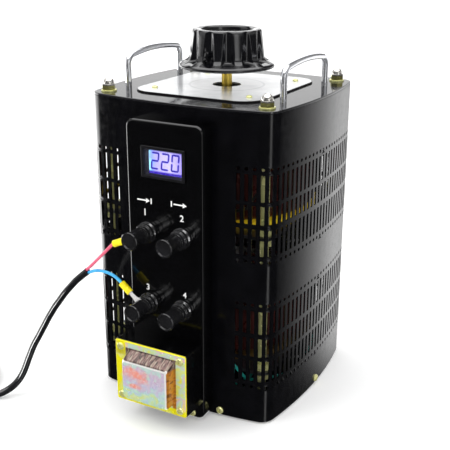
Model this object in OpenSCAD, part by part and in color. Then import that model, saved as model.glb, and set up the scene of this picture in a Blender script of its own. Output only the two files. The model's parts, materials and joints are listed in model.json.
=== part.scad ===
// Bench variable autotransformer: two toroidal coils on one brush shaft, in a vented steel case.
// Millimetres. +Z is up, -Y is the front. The origin is on the surface that the feet stand on,
// in the middle of the object without its mains lead.

/* [Case] */
// Half width of the case at the middle of its bulged sides
half_w = 103; // [100:0.5:108]
// Half depth of the case at the middle of its bulged front
half_d = 100; // [97:0.5:105]
// How far each side bulges
bulge = 7; // [4:0.5:9]
// Radius of the upright corners
corner_r = 14; // [12:0.5:16]
// Height of the top face above the surface
top_z = 300; // [298:1:306]
// Sheet thickness of the case
sheet_t = 1.2; // [0.8:0.1:1.6]
// Thickness of the top plate
lid_t = 2.5; // [2:0.1:3]
// Distance between vent columns along the sheet
vent_pitch = 7.5; // [7.2:0.1:8.2]
// Width of a vent slot
slot_w = 3.7; // [3:0.1:4]

/* [Front panel] */
// Half width of the raised front panel
panel_w2 = 39.5; // [38:0.5:42]
// How far the panel stands forward of the case
panel_out = 15; // [12:0.5:18]
// Top edge of the panel
panel_top = 286; // [280:1:290]
// Half width of the wiring box
box_w2 = 38.5; // [36:0.5:38.5]
// Bottom and top of the wiring box
box_z = [20.5, 83];
// How far the wiring box stands forward of the panel
box_out = 28.5; // [24:0.5:32]
// How far the cover's pressing stands forward
press_out = 11; // [8:0.5:13]
// Distance of a binding post from the middle plane
post_x = 18; // [16:0.5:20]
// Heights of the two rows of binding posts
post_rows = [183, 113];

/* [Coils] */
// Heights at which the two coils start
coil_z = [56, 190];
// Height of a coil
coil_h = 50; // [46:1:50]
// Outer radius of a coil
coil_r = 88; // [84:1:90]
// Inner radius of a coil
coil_bore_r = 38; // [34:1:40]
// Build of the winding on the core
winding_t = 4.5; // [3:0.5:6]

/* [Shaft and knob] */
// Radius of the shaft
shaft_r = 5; // [4:0.5:6]
// Radius of the knob's skirt
skirt_r = 46; // [42:1:50]
// Bottom and top of the knob
knob_z = [318.5, 354.5];
// Radius of the knob's top
knob_top_r = 33; // [30:1:36]
// Number of flutes round the knob
flutes = 12; // [8:1:16]

/* [Handles] */
// Distance of a handle from the middle plane
handle_x = 82; // [76:1:84]
// Half the distance between a handle's feet
handle_y2 = 47; // [44:1:50]
// Height of a handle's bar above the top face, at its ends
handle_h = 29; // [26:1:34]
// Radius of the handle rod
handle_r = 3; // [2.5:0.25:3.5]

/* [Hidden] */
$fn = 48;

// Gaps: bolt in its hole, shaft in its bush, one sheet inside another
hole_gap = 0.3;
bush_gap = 0.05;
nest_gap = 0.15;

// Case
wrap_z = [2, top_z - lid_t];
rod_xy = [half_w - bulge - corner_r, half_d - bulge - corner_r];
rod_r = 4;
rod_z = [4, top_z + 6.5];
nut_r = 7.5;
nut_h = 6.5;
acorn_r = 6.6;
acorn_h = 5.5;
base_z = 12;
base_t = 2;
foot_r = 9;
foot_xy = [62, 60];
head_r = 3.7;
head_h = 2.2;
screw_r = 2;
washer_t = 1.4;

// Panel and wiring box
panel_y = -half_d - panel_out;
panel_wall = 2.5;
panel_z = [2, panel_top];
box_y = panel_y - box_out;
cover_t = 1.5;
cover_w2 = 38;
cover_y = box_y - cover_t;
cover_screw = [32, 6];
press_x = [-25, 26];
press_z = [29, 75];
meter_w2 = 22.5;
meter_zs = [234.5, 263.5];
meter_mid = (meter_zs[0] + meter_zs[1]) / 2;
bezel_out = 2;
window_w2 = 19.5;
window_h2 = 11.8;
display_x = [-15.5, 18.5];
display_h2 = 10.3;

// The body's axis lies behind the middle of the whole object, because the cover's pressing
// is the foremost point and a rear screw head the rearmost
front_reach = half_d + panel_out + box_out + cover_t + press_out;
rear_reach = half_d + head_h;
body_at = [0, (front_reach - rear_reach) / 2, 0];

// Binding posts: the clamping gap is post_gap in front of the panel
post_gap = 12;
fork_t = 0.8;
post_washer_t = 1;
cap_len = 17;
washer_start = post_gap + fork_t + 0.2;
cap_start = washer_start + post_washer_t + 0.3;
stud_r = 3;
thread_gap = 0.08;

// Coils and rotor
plate_t = 3;
ring_t = 4;
ring_r = 91;
track_r = [58, 72];
track_t = 0.6;
core_gap = 0.5;
brush_r = 65;
brush_size = [10, 5, 14];
brush_lift = 0.1;
holder_wall = 1.5;
holder_gap = 0.15;
arm_dz = 9;
arm_t = 4;
hub_r = 13;
hub_h = 16;
arm_turn = [-130, 50];
spring_len = 6;
shaft_z = [base_z + 0.5, knob_z[1] - 8];
bush_r = 9;
bush_h = 14;
dial_hole_r = 13.8;
top_bush_h = 12;
dial_t = 1.5;
dial_half = [67, 72];
dial_corner_r = 24;
dial_screw_xy = [50, 50];
stop_r = 22;
stop_pin_r = 3;
stop_z = top_z - lid_t - 20;
stop_pin_turn = 200;
stop_arm_turn = stop_pin_turn + 58;

// Lead: points along the parts that aren't coiled, in the body's frame
sheath_r = 3.5;
core_r = 1.5;
post_y = panel_y - post_gap - fork_t / 2;
fork_turns = [-156, 141];
core_start = 27;
sleeve_starts = [20, 17.6];
sleeve_len = 12.5;
sheath_route = [[-78.2, -130, 137.3], [-85, -130.4, 131.4], [-91.8, -131, 125.2],
                [-97.5, -131.7, 119], [-103, -132.5, 112.7], [-107.5, -133.7, 106.6],
                [-112, -135, 100], [-116, -136.5, 94], [-119.5, -138, 87.8],
                [-123, -139.5, 81.5], [-126, -141.2, 75], [-129, -143, 68.7],
                [-132, -145, 62], [-134.5, -147, 56.5], [-136.7, -149, 51],
                [-138.7, -151, 44.5], [-140.5, -153.2, 38], [-142, -155.5, 31.5],
                [-143.7, -158.2, 25], [-146, -161.3, 19], [-149.5, -165.2, 13.2],
                [-154, -169.8, 8.6], [-159.7, -175.4, 5.2], [-166.3, -181.7, 3.7],
                [-173, -188, 3.5], [-180, -194.6, 3.5], [-187, -201.2, 3.5]];
red_route = [[-42.9, -127.4, 171.9], [-49, -127.4, 169.2], [-54, -127.6, 164.2], [-60, -128, 158],
             [-66.5, -128.7, 151.3], [-73, -129.4, 144.5], [-79.3, -130, 138.5]];
blue_route = [[-39.2, -127.4, 130.2], [-44.4, -127.4, 134.4], [-49, -127.6, 137.3], [-55.5, -128, 139.3],
              [-63, -128.6, 140], [-70.5, -129.3, 138.9], [-77.1, -130, 136]];
coil_at = [-225.9, -178.8];
turn_r = [28.9, 36, 43.1];
lead_coil_r = [turn_r[0] - sheath_r - 0.1, turn_r[2] + sheath_r + 0.1];
lead_coil_h = 14.2;
tail_turn = 195;
plug_z = 10.6;
pin_gap = 19;

// ---- Outline of the case ----

// Radius of a bulged side whose corner centres are half_span either side of its middle
function side_r(half_span, inset) =
    (half_span * half_span + bulge * bulge) / (2 * bulge) + corner_r - inset;
function side_turn(half_span) =
    asin(half_span / (side_r(half_span, 0) - corner_r));

// Points of one quarter, from the middle of the +X side to the middle of the +Y side
function quarter(inset, n_side = 6, n_corner = 7) =
    let (rx = side_r(rod_xy[1], inset), ry = side_r(rod_xy[0], inset),
         ax = side_turn(rod_xy[1]), ay = side_turn(rod_xy[0]), r = corner_r - inset)
    concat(
        [for (i = [0:n_side - 1]) let (a = ax * i / n_side)
            [half_w - inset - rx + rx * cos(a), rx * sin(a)]],
        [for (i = [0:n_corner]) let (a = ax + (90 - ax - ay) * i / n_corner)
            rod_xy + r * [cos(a), sin(a)]],
        [for (i = [n_side - 1:-1:1]) let (a = ay * i / n_side)
            [ry * sin(a), half_d - inset - ry + ry * cos(a)]]);
function flip(points, sx, sy) = [for (p = points) [sx * p[0], sy * p[1]]];
function reverse(list) = [for (i = [len(list) - 1:-1:0]) list[i]];
function outline(inset) =
    let (q = quarter(inset), mid_y = [[0, half_d - inset]])
    concat(q, mid_y, reverse(flip([for (i = [1:len(q) - 1]) q[i]], -1, 1)),
           flip([q[0]], -1, 1), flip([for (i = [1:len(q) - 1]) q[i]], -1, -1),
           flip(mid_y, 1, -1), reverse(flip([for (i = [1:len(q) - 1]) q[i]], 1, -1)));

module body_prism(z0, z1, inset = 0) {
    translate([0, 0, z0]) linear_extrude(z1 - z0) polygon(outline(inset));
}

// Place and outward direction at distance s along the sheet from the middle of the +X side
function on_sheet(s) =
    let (rx = side_r(rod_xy[1], 0), ry = side_r(rod_xy[0], 0),
         ax = side_turn(rod_xy[1]), ay = side_turn(rod_xy[0]),
         side_len = rx * ax * PI / 180, corner_len = corner_r * (90 - ax - ay) * PI / 180)
    s < side_len
        ? let (a = s / rx * 180 / PI) [half_w - rx + rx * cos(a), rx * sin(a), a]
        : s < side_len + corner_len
            ? let (a = ax + (s - side_len) / corner_r * 180 / PI)
                [rod_xy[0] + corner_r * cos(a), rod_xy[1] + corner_r * sin(a), a]
            : let (a = 90 - ay + (s - side_len - corner_len) / ry * 180 / PI)
                [ry * cos(a), half_d - ry + ry * sin(a), a];

// ---- Vents: a comb whose teeth pass through the sheet, cut at every row of openings ----

front_columns = 16;
back_columns = 16;
vent_rows = [[36.9, 3.4], [44, 22.6], [69.8, 19.5], [93.5, 23.1], [120.6, 3.4],
             [162.7, 3.4], [169.7, 25.2], [199.2, 17.6], [220.1, 24.5], [247.7, 3.4]];
function tooth(c, side, w) =
    let (n = [cos(c[2]), sin(c[2])], t = [-n[1], n[0]], p = [c[0], c[1]])
    [p - 6 * n - side * w / 2 * t, p + 4 * n - side * w / 2 * t,
     p + 4 * n + side * w / 2 * t, p - 6 * n + side * w / 2 * t];
function teeth(columns, w) = [for (c = columns) each tooth(c, 1, w)];
function comb(w) =
    let (back = [for (i = [1:back_columns]) on_sheet(i * vent_pitch)],
         front = [for (i = [1:front_columns]) on_sheet(i * vent_pitch)],
         half = concat(reverse(flip(teeth(front, w), 1, -1)),
                       teeth([on_sheet(0)], w), teeth(back, w)))
    concat(half, reverse(flip(half, -1, 1)));

// ---- Small parts ----

module at_rods() {
    for (sx = [-1, 1], sy = [-1, 1]) translate([sx * rod_xy[0], sy * rod_xy[1], 0]) children();
}

module hex_nut(r, h, bore) {
    difference() {
        cylinder(r = r, h = h, $fn = 6);
        translate([0, 0, -1]) cylinder(r = bore, h = h + 2);
    }
}

// A pan-head screw that points along -Z, with its head's underside at the origin
module pan_screw(r, head, h, len) {
    difference() {
        union() {
            translate([0, 0, -len]) cylinder(r = r, h = len);
            rotate_extrude() polygon([[0, 0], [head, 0], [head, h * 0.45], [head * 0.8, h * 0.85],
                                      [head * 0.45, h], [0, h]]);
        }
        for (turn = [0, 90]) rotate([0, 0, turn])
            translate([-head * 0.5, -head * 0.11, h - 0.9]) cube([head, head * 0.22, 2]);
    }
}

// A rounded rectangle in the X-Z plane, extruded towards +Y from y
module upright_slab(x0, x1, z0, z1, y, t, r) {
    translate([0, y + t, 0]) rotate([90, 0, 0]) linear_extrude(t) union() {
        translate([x0 + r, z0]) square([x1 - x0 - 2 * r, z1 - z0]);
        translate([x0, z0 + r]) square([x1 - x0, z1 - z0 - 2 * r]);
        for (x = [x0 + r, x1 - r], z = [z0 + r, z1 - r]) translate([x, z]) circle(r = r);
    }
}

// ---- Case ----

module base_plate() {
    color("dimgray") difference() {
        union() {
            body_prism(base_z - base_t, base_z, sheet_t + nest_gap);
            difference() {
                body_prism(3, base_z, sheet_t + nest_gap);
                body_prism(0, base_z, sheet_t + nest_gap + base_t);
            }
        }
        at_rods() cylinder(r = rod_r + hole_gap, h = 40);
        translate([0, 0, 1]) cylinder(r = bush_r + 0.02, h = 40);
        for (at = case_screw_places) translate([at[0], at[1], case_screw_z]) rotate([90, 0, at[2]])
            translate([0, 0, -8]) cylinder(r = screw_r + 0.02, h = 16);
        panel_screw_holes();
    }
}

module panel_screw_holes() {
    for (sx = [-1, 1]) translate([sx * panel_screw_x, -half_d + 8, panel_screw_z])
        rotate([90, 0, 0]) cylinder(r = screw_r + 0.02, h = 30);
}

// Screws along the bottom edge: place and the direction that the head faces
case_screw_z = 6.5;
front_screw = on_sheet(136.5);
case_screw_places = [[half_w, 4, 90], [-half_w, 4, -90],
                     [front_screw[0], -front_screw[1], 0], [-front_screw[0], -front_screw[1], 0],
                     [front_screw[0], front_screw[1], 180], [-front_screw[0], front_screw[1], 180]];
panel_screw_x = 27;
panel_screw_z = 7.5;

module rubber_feet() {
    color("black") for (sx = [-1, 1], sy = [-1, 1])
        translate([sx * foot_xy[0], sy * foot_xy[1], 0])
            rotate_extrude() polygon([[0, 0], [foot_r - 1, 0], [foot_r, 1],
                                      [foot_r + 1, base_z - base_t], [0, base_z - base_t]]);
}

module tie_rods() {
    color("gold") at_rods() translate([0, 0, rod_z[0]]) cylinder(r = rod_r, h = rod_z[1] - rod_z[0]);
}

module rod_nuts() {
    plates = [for (z = coil_z) z - ring_t - plate_t];
    levels = concat([base_z - base_t - nut_h, base_z],
                    [for (z = plates) each [z - nut_h, z + plate_t]]);
    color("goldenrod") at_rods() for (z = levels) translate([0, 0, z]) hex_nut(nut_r, nut_h, rod_r);
}

module acorn_nuts() {
    z0 = top_z + washer_t;
    color("silver") at_rods() translate([0, 0, z0]) difference() {
        union() {
            cylinder(r = acorn_r, h = acorn_h, $fn = 6);
            translate([0, 0, acorn_h]) rotate_extrude()
                polygon(concat([[0, 0]], [for (a = [0:10:90]) [5.3 * cos(a), 6 * sin(a)]]));
        }
        translate([0, 0, -1]) cylinder(r = rod_r, h = rod_z[1] - z0 + 1);
    }
}

module rod_washers() {
    color("gold") at_rods() translate([0, 0, top_z]) difference() {
        cylinder(r = 7.3, h = washer_t);
        translate([0, 0, -1]) cylinder(r = rod_r + hole_gap, h = washer_t + 2);
    }
}

module case_wrap() {
    color([0.06, 0.06, 0.07]) difference() {
        body_prism(wrap_z[0], wrap_z[1]);
        body_prism(0, top_z, sheet_t);
        for (row = vent_rows) translate([0, 0, row[0]])
            linear_extrude(row[1]) polygon(comb(min(slot_w, row[1])));
        translate([-30, -half_d - 5, 30]) cube([60, 12, 240]);
        for (at = case_screw_places) translate([at[0], at[1], case_screw_z]) rotate([90, 0, at[2]])
            translate([0, 0, -8]) cylinder(r = screw_r + 0.02, h = 16);
        panel_screw_holes();
    }
}

module top_plate() {
    color([0.08, 0.08, 0.09]) difference() {
        union() {
            body_prism(top_z - lid_t, top_z);
            difference() {
                body_prism(top_z - lid_t - 6, top_z - lid_t, sheet_t + nest_gap);
                body_prism(top_z - 20, top_z + 1, sheet_t + nest_gap + 1.5);
            }
        }
        at_rods() translate([0, 0, top_z - 20]) cylinder(r = rod_r + hole_gap, h = 40);
        translate([0, 0, top_z - 20]) cylinder(r = dial_hole_r, h = 40);
        for (sx = [-1, 1], sy = [-1, 1]) {
            translate([sx * handle_x, sy * handle_y2, top_z - 20])
                cylinder(r = handle_r + hole_gap, h = 40);
            translate([sx * dial_screw_xy[0], sy * dial_screw_xy[1], top_z - 20])
                cylinder(r = 1.5, h = 40);
        }
        rotate([0, 0, stop_pin_turn]) translate([stop_r, 0, top_z - 20])
            cylinder(r = stop_pin_r, h = 40);
    }
}

module dial_plate() {
    c = dial_corner_r;
    color("silver") translate([0, 0, top_z]) difference() {
        linear_extrude(dial_t) union() {
            square(2 * [dial_half[0] - c, dial_half[1]], center = true);
            square(2 * [dial_half[0], dial_half[1] - c], center = true);
            for (sx = [-1, 1], sy = [-1, 1])
                translate([sx * (dial_half[0] - c), sy * (dial_half[1] - c)]) circle(r = c);
        }
        translate([0, 0, -1]) cylinder(r = dial_hole_r, h = dial_t + 2);
        for (sx = [-1, 1], sy = [-1, 1])
            translate([sx * dial_screw_xy[0], sy * dial_screw_xy[1], -1]) cylinder(r = 1.5, h = 4);
    }
}

module dial_screws() {
    color("gold") for (sx = [-1, 1], sy = [-1, 1])
        translate([sx * dial_screw_xy[0], sy * dial_screw_xy[1], top_z + dial_t])
            pan_screw(1.5, 2.8, 1.8, dial_t + lid_t + 3);
}

// A bent rod with its bar along Y: two legs, two bends and a bar with a slight arch.
// The bends reach a little way into the legs and the bar, and are a hair thinner.
module handle(x) {
    bend = 9;
    arch = 3;
    reach = 3;
    bar2 = handle_y2 - bend;
    arch_r = (bar2 * bar2 + arch * arch) / (2 * arch);
    arch_a = asin(bar2 / arch_r);
    leg_bottom = top_z - lid_t - 9;
    bend_z = top_z + handle_h - bend;
    bar_r = (bar2 + bend * sin(arch_a)) / sin(arch_a);
    bar_z = bend_z + (bend - bar_r) * cos(arch_a);
    color("silver") translate([x, 0, 0]) union() {
        for (s = [-1, 1]) {
            translate([0, s * handle_y2, leg_bottom]) cylinder(r = handle_r, h = bend_z - leg_bottom);
            translate([0, s * bar2, bend_z]) rotate([90, 0, 90])
                rotate([0, 0, (s > 0 ? 0 : 90 + arch_a) - reach])
                    rotate_extrude(angle = 90 - arch_a + 2 * reach)
                        translate([bend, 0]) circle(r = handle_r - 0.01);
        }
        translate([0, 0, bar_z]) rotate([90, 0, 90]) rotate([0, 0, 90 - arch_a])
            rotate_extrude(angle = 2 * arch_a) translate([bar_r, 0]) circle(r = handle_r);
    }
}

module left_handle() { handle(-handle_x); }
module right_handle() { handle(handle_x); }

// M6 nuts under the handles' feet and behind the binding posts
module small_nuts() {
    color("goldenrod") {
        for (sx = [-1, 1], sy = [-1, 1])
            translate([sx * handle_x, sy * handle_y2, top_z - lid_t - 5]) hex_nut(5.8, 5, handle_r);
        at_posts() translate([0, 0, -panel_wall - 5]) hex_nut(5.8, 5, stud_r);
    }
}

// ---- Front panel ----

module front_panel() {
    inner_x = panel_w2 - panel_wall;
    color([0.05, 0.05, 0.05]) difference() {
        union() {
            upright_slab(-panel_w2, panel_w2, panel_z[0], panel_z[1], panel_y, panel_out + 4, 8);
            translate([-box_w2, box_y, box_z[0]])
                cube([2 * box_w2, box_out + 1, box_z[1] - box_z[0]]);
        }
        body_prism(0, top_z, -0.1);
        upright_slab(-inner_x, inner_x, panel_z[0] + 9, panel_z[1] - panel_wall,
                     panel_y + panel_wall, panel_out + 4, 6);
        difference() {
            translate([-box_w2 + panel_wall, box_y - 1, box_z[0] + panel_wall])
                cube([2 * (box_w2 - panel_wall), box_out + panel_wall + 2,
                      box_z[1] - box_z[0] - 2 * panel_wall]);
            cover_bosses();
        }
        translate([-window_w2 - 1, panel_y - 1, meter_mid - window_h2 - 1])
            cube([2 * window_w2 + 2, panel_wall + 2, 2 * window_h2 + 2]);
        at_posts() translate([0, 0, -10]) cylinder(r = stud_r + hole_gap, h = 20);
        at_cover_screws() translate([0, 0, -8]) cylinder(r = screw_r + 0.02, h = 10);
        panel_screw_holes();
    }
}

module cover_bosses() {
    for (sx = [-1, 1], z = box_z) {
        up = z == box_z[0] ? 0 : -9;
        translate([sx * (box_w2 - 5) - 5, box_y, z + up]) cube([10, 12, 9]);
    }
}

module at_cover_screws() {
    for (sx = [-1, 1], z = [box_z[0] + cover_screw[1], box_z[1] - cover_screw[1]])
        translate([sx * cover_screw[0], box_y, z]) rotate([90, 0, 0]) children();
}

// The cover is one pressing: a flat flange round a raised, hollow rectangle
module box_cover() {
    module press(y0, y1, grow, top_drop) {
        upright_slab(press_x[0] - grow, press_x[1] + grow, press_z[0] - grow,
                     press_z[1] + grow - top_drop, y0, y1 - y0, 5 + grow);
    }
    color([0.85, 0.75, 0.35]) difference() {
        union() {
            translate([-cover_w2, cover_y, box_z[0]])
                cube([2 * cover_w2, cover_t, box_z[1] - box_z[0]]);
            press(cover_y - press_out, cover_y + 0.5, 0, 4);
        }
        press(cover_y - press_out + cover_t, cover_y + 2, -cover_t, 4);
        at_cover_screws() translate([0, 0, -1]) cylinder(r = screw_r + hole_gap, h = 4);
    }
}

// M4 screws: four in the cover, two at the foot of the panel, six round the case's edge
module pan_head_screws() {
    color("gold") {
        at_cover_screws() translate([0, 0, cover_t]) pan_screw(screw_r, head_r, head_h, 8);
        for (sx = [-1, 1]) translate([sx * panel_screw_x, panel_y, panel_screw_z])
            rotate([90, 0, 0]) pan_screw(screw_r, head_r, head_h, 20);
        for (at = case_screw_places) translate([at[0], at[1], case_screw_z])
            rotate([90, 0, at[2]]) pan_screw(screw_r, head_r, head_h, 7);
    }
}

module meter_housing() {
    back = 14;
    color([0.12, 0.12, 0.13]) difference() {
        union() {
            upright_slab(-meter_w2, meter_w2, meter_zs[0], meter_zs[1], panel_y - bezel_out,
                         bezel_out, 1);
            translate([-window_w2 - 0.8, panel_y - 0.5, meter_mid - window_h2 - 0.8])
                cube([2 * window_w2 + 1.6, back + 0.5, 2 * window_h2 + 1.6]);
        }
        translate([-window_w2, panel_y - bezel_out - 1, meter_mid - window_h2])
            cube([2 * window_w2, bezel_out + back - 1, 2 * window_h2]);
    }
}

module meter_window() {
    color([0.2, 0.2, 0.3, 0.4]) translate([-window_w2 + 0.1, panel_y - 0.6, meter_mid - window_h2 + 0.1])
        cube([2 * window_w2 - 0.2, 1, 2 * window_h2 - 0.2]);
}

module meter_display() {
    color([0.6, 0.55, 1]) translate([display_x[0], panel_y + 0.6, meter_mid - display_h2])
        cube([display_x[1] - display_x[0], 2.5, 2 * display_h2]);
}

// ---- Binding posts: each is drawn along +Z out of the panel ----

module at_post(i) {
    translate([i % 2 == 0 ? -post_x : post_x, panel_y, post_rows[floor(i / 2)]])
        rotate([90, 0, 0]) children();
}
module at_posts() { for (i = [0:3]) at_post(i) children(); }

module post_bases() {
    color([0.07, 0.07, 0.07]) at_posts() rotate_extrude() polygon([
        [stud_r + hole_gap, 0], [10, 0], [10, 2.5], [8.4, 3.5], [8.4, 5], [9.2, 5], [9.2, 7.5],
        [7.8, 8.2], [7.8, post_gap], [stud_r + hole_gap, post_gap]]);
}

module post_studs() {
    color("gold") at_posts() translate([0, 0, -22]) cylinder(r = stud_r, h = 22 + cap_start + 11);
}

module post_washer(i) {
    color("silver") at_post(i) translate([0, 0, washer_start]) difference() {
        cylinder(r = 7, h = post_washer_t);
        translate([0, 0, -1]) cylinder(r = stud_r + thread_gap, h = 4);
    }
}

module post_cap(i) {
    bore_depth = cap_len - 3;
    color([0.07, 0.07, 0.07]) at_post(i) translate([0, 0, cap_start]) difference() {
        rotate_extrude() polygon([[0, 0], [7.4, 0], [7.4, cap_len - 3.6], [8.5, cap_len - 2.6],
                                  [8.5, cap_len - 0.7], [7.9, cap_len], [7.1, cap_len],
                                  [6.4, cap_len - 1.2], [0, cap_len - 1.2]]);
        translate([0, 0, -1]) cylinder(r = stud_r + thread_gap, h = bore_depth + 1);
        for (turn = [0:30:330]) rotate([0, 0, turn]) translate([7.9, 0, 1])
            cylinder(r = 0.9, h = cap_len - 5.2);
    }
}

module upper_left_washer() { post_washer(0); }
module upper_right_washer() { post_washer(1); }
module lower_left_washer() { post_washer(2); }
module lower_right_washer() { post_washer(3); }
module upper_left_cap() { post_cap(0); }
module upper_right_cap() { post_cap(1); }
module lower_left_cap() { post_cap(2); }
module lower_right_cap() { post_cap(3); }

// ---- Coils ----

module coil_plates() {
    reach = rod_r + 5;
    color("dimgray") for (z = coil_z) translate([0, 0, z - ring_t - plate_t]) difference() {
        linear_extrude(plate_t) union() {
            square(2 * [rod_xy[0], rod_xy[1] + reach], center = true);
            square(2 * [rod_xy[0] + reach, rod_xy[1]], center = true);
            for (sx = [-1, 1], sy = [-1, 1])
                translate([sx * rod_xy[0], sy * rod_xy[1]]) circle(r = reach);
        }
        at_rods() translate([0, 0, -1]) cylinder(r = rod_r + hole_gap, h = plate_t + 2);
        translate([0, 0, -1]) cylinder(r = bush_r + 0.02, h = plate_t + 2);
        for (turn = [0:60:300]) rotate([0, 0, turn]) translate([25, 0, -1])
            cylinder(r = 8, h = plate_t + 2);
    }
}

module insulating_rings() {
    color("gold") for (z = coil_z) translate([0, 0, z - ring_t]) difference() {
        cylinder(r = ring_r, h = ring_t);
        translate([0, 0, -1]) cylinder(r = coil_bore_r, h = ring_t + 2);
    }
}

module coil_ring(z0, z1, r0, r1, round) {
    rotate_extrude() translate([r0, z0]) union() {
        w = r1 - r0;
        h = z1 - z0;
        translate([round, 0]) square([w - 2 * round, h]);
        translate([0, round]) square([w, h - 2 * round]);
        for (x = [round, w - round], y = [round, h - round]) translate([x, y]) circle(r = round);
    }
}

module coil_cores() {
    inset = winding_t + core_gap;
    color("gray") for (z = coil_z) coil_ring(z + inset, z + coil_h - inset,
                                             coil_bore_r + inset, coil_r - inset, 1);
}

module winding(z) {
    color([0.55, 0.2, 0.13]) difference() {
        coil_ring(z, z + coil_h, coil_bore_r, coil_r, 5);
        coil_ring(z + winding_t, z + coil_h - winding_t,
                  coil_bore_r + winding_t, coil_r - winding_t, 1);
    }
}
module lower_winding() { winding(coil_z[0]); }
module upper_winding() { winding(coil_z[1]); }

// The strip of bared wire that the brush runs on
module coil_tracks() {
    color([0.8, 0.5, 0.3]) for (z = coil_z) translate([0, 0, z + coil_h]) difference() {
        cylinder(r = track_r[1], h = track_t);
        translate([0, 0, -1]) cylinder(r = track_r[0], h = track_t + 2);
    }
}

// ---- Shaft, brush arms and stops ----

module shaft() {
    color("gold") translate([0, 0, shaft_z[0]]) cylinder(r = shaft_r, h = shaft_z[1] - shaft_z[0]);
}

// Flanged bushes in the base and in the upper coil's plate
module shaft_bushes() {
    floors = [base_z - base_t, coil_z[1] - ring_t - plate_t];
    color("darkgoldenrod") for (i = [0:1]) translate([0, 0, floors[i]]) difference() {
        union() {
            cylinder(r = bush_r, h = bush_h);
            translate([0, 0, i == 0 ? base_t : plate_t]) cylinder(r = bush_r + 3, h = 2.5);
        }
        translate([0, 0, -1]) cylinder(r = shaft_r + bush_gap, h = bush_h + 2);
    }
}

module top_bush() {
    z0 = top_z - top_bush_h;
    color([0.1, 0.09, 0.08]) translate([0, 0, z0]) difference() {
        union() {
            cylinder(r = dial_hole_r - 0.1, h = top_bush_h - 0.5);
            cylinder(r = dial_hole_r + 4, h = top_bush_h - lid_t - 0.02);
        }
        translate([0, 0, -1]) cylinder(r = shaft_r + bush_gap, h = top_bush_h + 2);
    }
}

// An aluminium sector that carries the brush and sheds its heat
module brush_arm(z, turn) {
    spread = 32;
    reach = 80;
    slot = [brush_size[0], brush_size[1]] + 2 * (holder_wall + holder_gap) * [1, 1]
           + 0.1 * [1, 1];
    color("lightgray") rotate([0, 0, turn]) translate([0, 0, z + coil_h + track_t + arm_dz])
        difference() {
            union() {
                cylinder(r = hub_r, h = hub_h);
                linear_extrude(arm_t) polygon(concat([[0, 0]],
                    [for (a = [-spread:8:spread]) reach * [cos(a), sin(a)]]));
                for (a = [-24:12:24]) if (a != 0) rotate([0, 0, a])
                    translate([hub_r + 6, -0.8, arm_t - 0.5]) cube([reach - hub_r - 10, 1.6, 9]);
            }
            translate([0, 0, -1]) cylinder(r = shaft_r, h = hub_h + 2);
            translate([brush_r, 0, 0]) cube([slot[0], slot[1], 40], center = true);
            translate([0, 0, hub_h - 5]) rotate([0, -90, 0]) cylinder(r = 2.5, h = 30);
        }
}
module lower_brush_arm() { brush_arm(coil_z[0], arm_turn[0]); }
module upper_brush_arm() { brush_arm(coil_z[1], arm_turn[1]); }

// Where a coil's brush starts
function brush_z(i) = coil_z[i] + coil_h + track_t + brush_lift;

module at_brush(i) {
    rotate([0, 0, arm_turn[i]]) translate([brush_r, 0, brush_z(i)]) children();
}

module brush_holders() {
    inner = [brush_size[0], brush_size[1]] + 2 * holder_gap * [1, 1];
    outer = inner + 2 * holder_wall * [1, 1];
    low = 4;
    high = brush_size[2] + spring_len;
    color("goldenrod") for (i = [0:1]) at_brush(i) difference() {
        translate([-outer[0] / 2, -outer[1] / 2, low])
            cube([outer[0], outer[1], high - low + holder_wall]);
        translate([-inner[0] / 2, -inner[1] / 2, low - 1]) cube([inner[0], inner[1], high - low + 1]);
    }
}

module brush(i) {
    color([0.15, 0.15, 0.16]) at_brush(i)
        translate([-brush_size[0] / 2, -brush_size[1] / 2, 0]) cube(brush_size);
}
module lower_brush() { brush(0); }
module upper_brush() { brush(1); }

// The spring's outer shape, between the brush and the roof of its holder
module brush_spring(i) {
    color("silver") at_brush(i) translate([0, 0, brush_size[2] + 0.05]) difference() {
        cylinder(r = 2.2, h = spring_len - 0.1);
        translate([0, 0, -1]) cylinder(r = 1.5, h = spring_len + 2);
    }
}
module lower_brush_spring() { brush_spring(0); }
module upper_brush_spring() { brush_spring(1); }

module stop_pin() {
    color("silver") rotate([0, 0, stop_pin_turn]) translate([stop_r, 0, stop_z])
        cylinder(r = stop_pin_r, h = top_z - stop_z);
}

module stop_arm() {
    color("lightgray") rotate([0, 0, stop_arm_turn]) translate([0, 0, stop_z + 1]) difference() {
        union() {
            cylinder(r = 10, h = 8);
            translate([0, -4.5, 0]) cube([stop_r + 4, 9, 6]);
        }
        translate([0, 0, -1]) cylinder(r = shaft_r, h = 12);
        translate([0, 0, 4]) rotate([0, -90, 0]) cylinder(r = 2.5, h = 30);
    }
}

// ---- Knob ----

knob_bore_z = knob_z[0] + 6;
knob_screw_turn = 270;
knob_screw_z = knob_z[0] + 14.5;
disc_r = 24;
disc_sink = 5;
disc_t = 1.6;
flute_r = 6;
flute_out = knob_top_r + 5;

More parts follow.
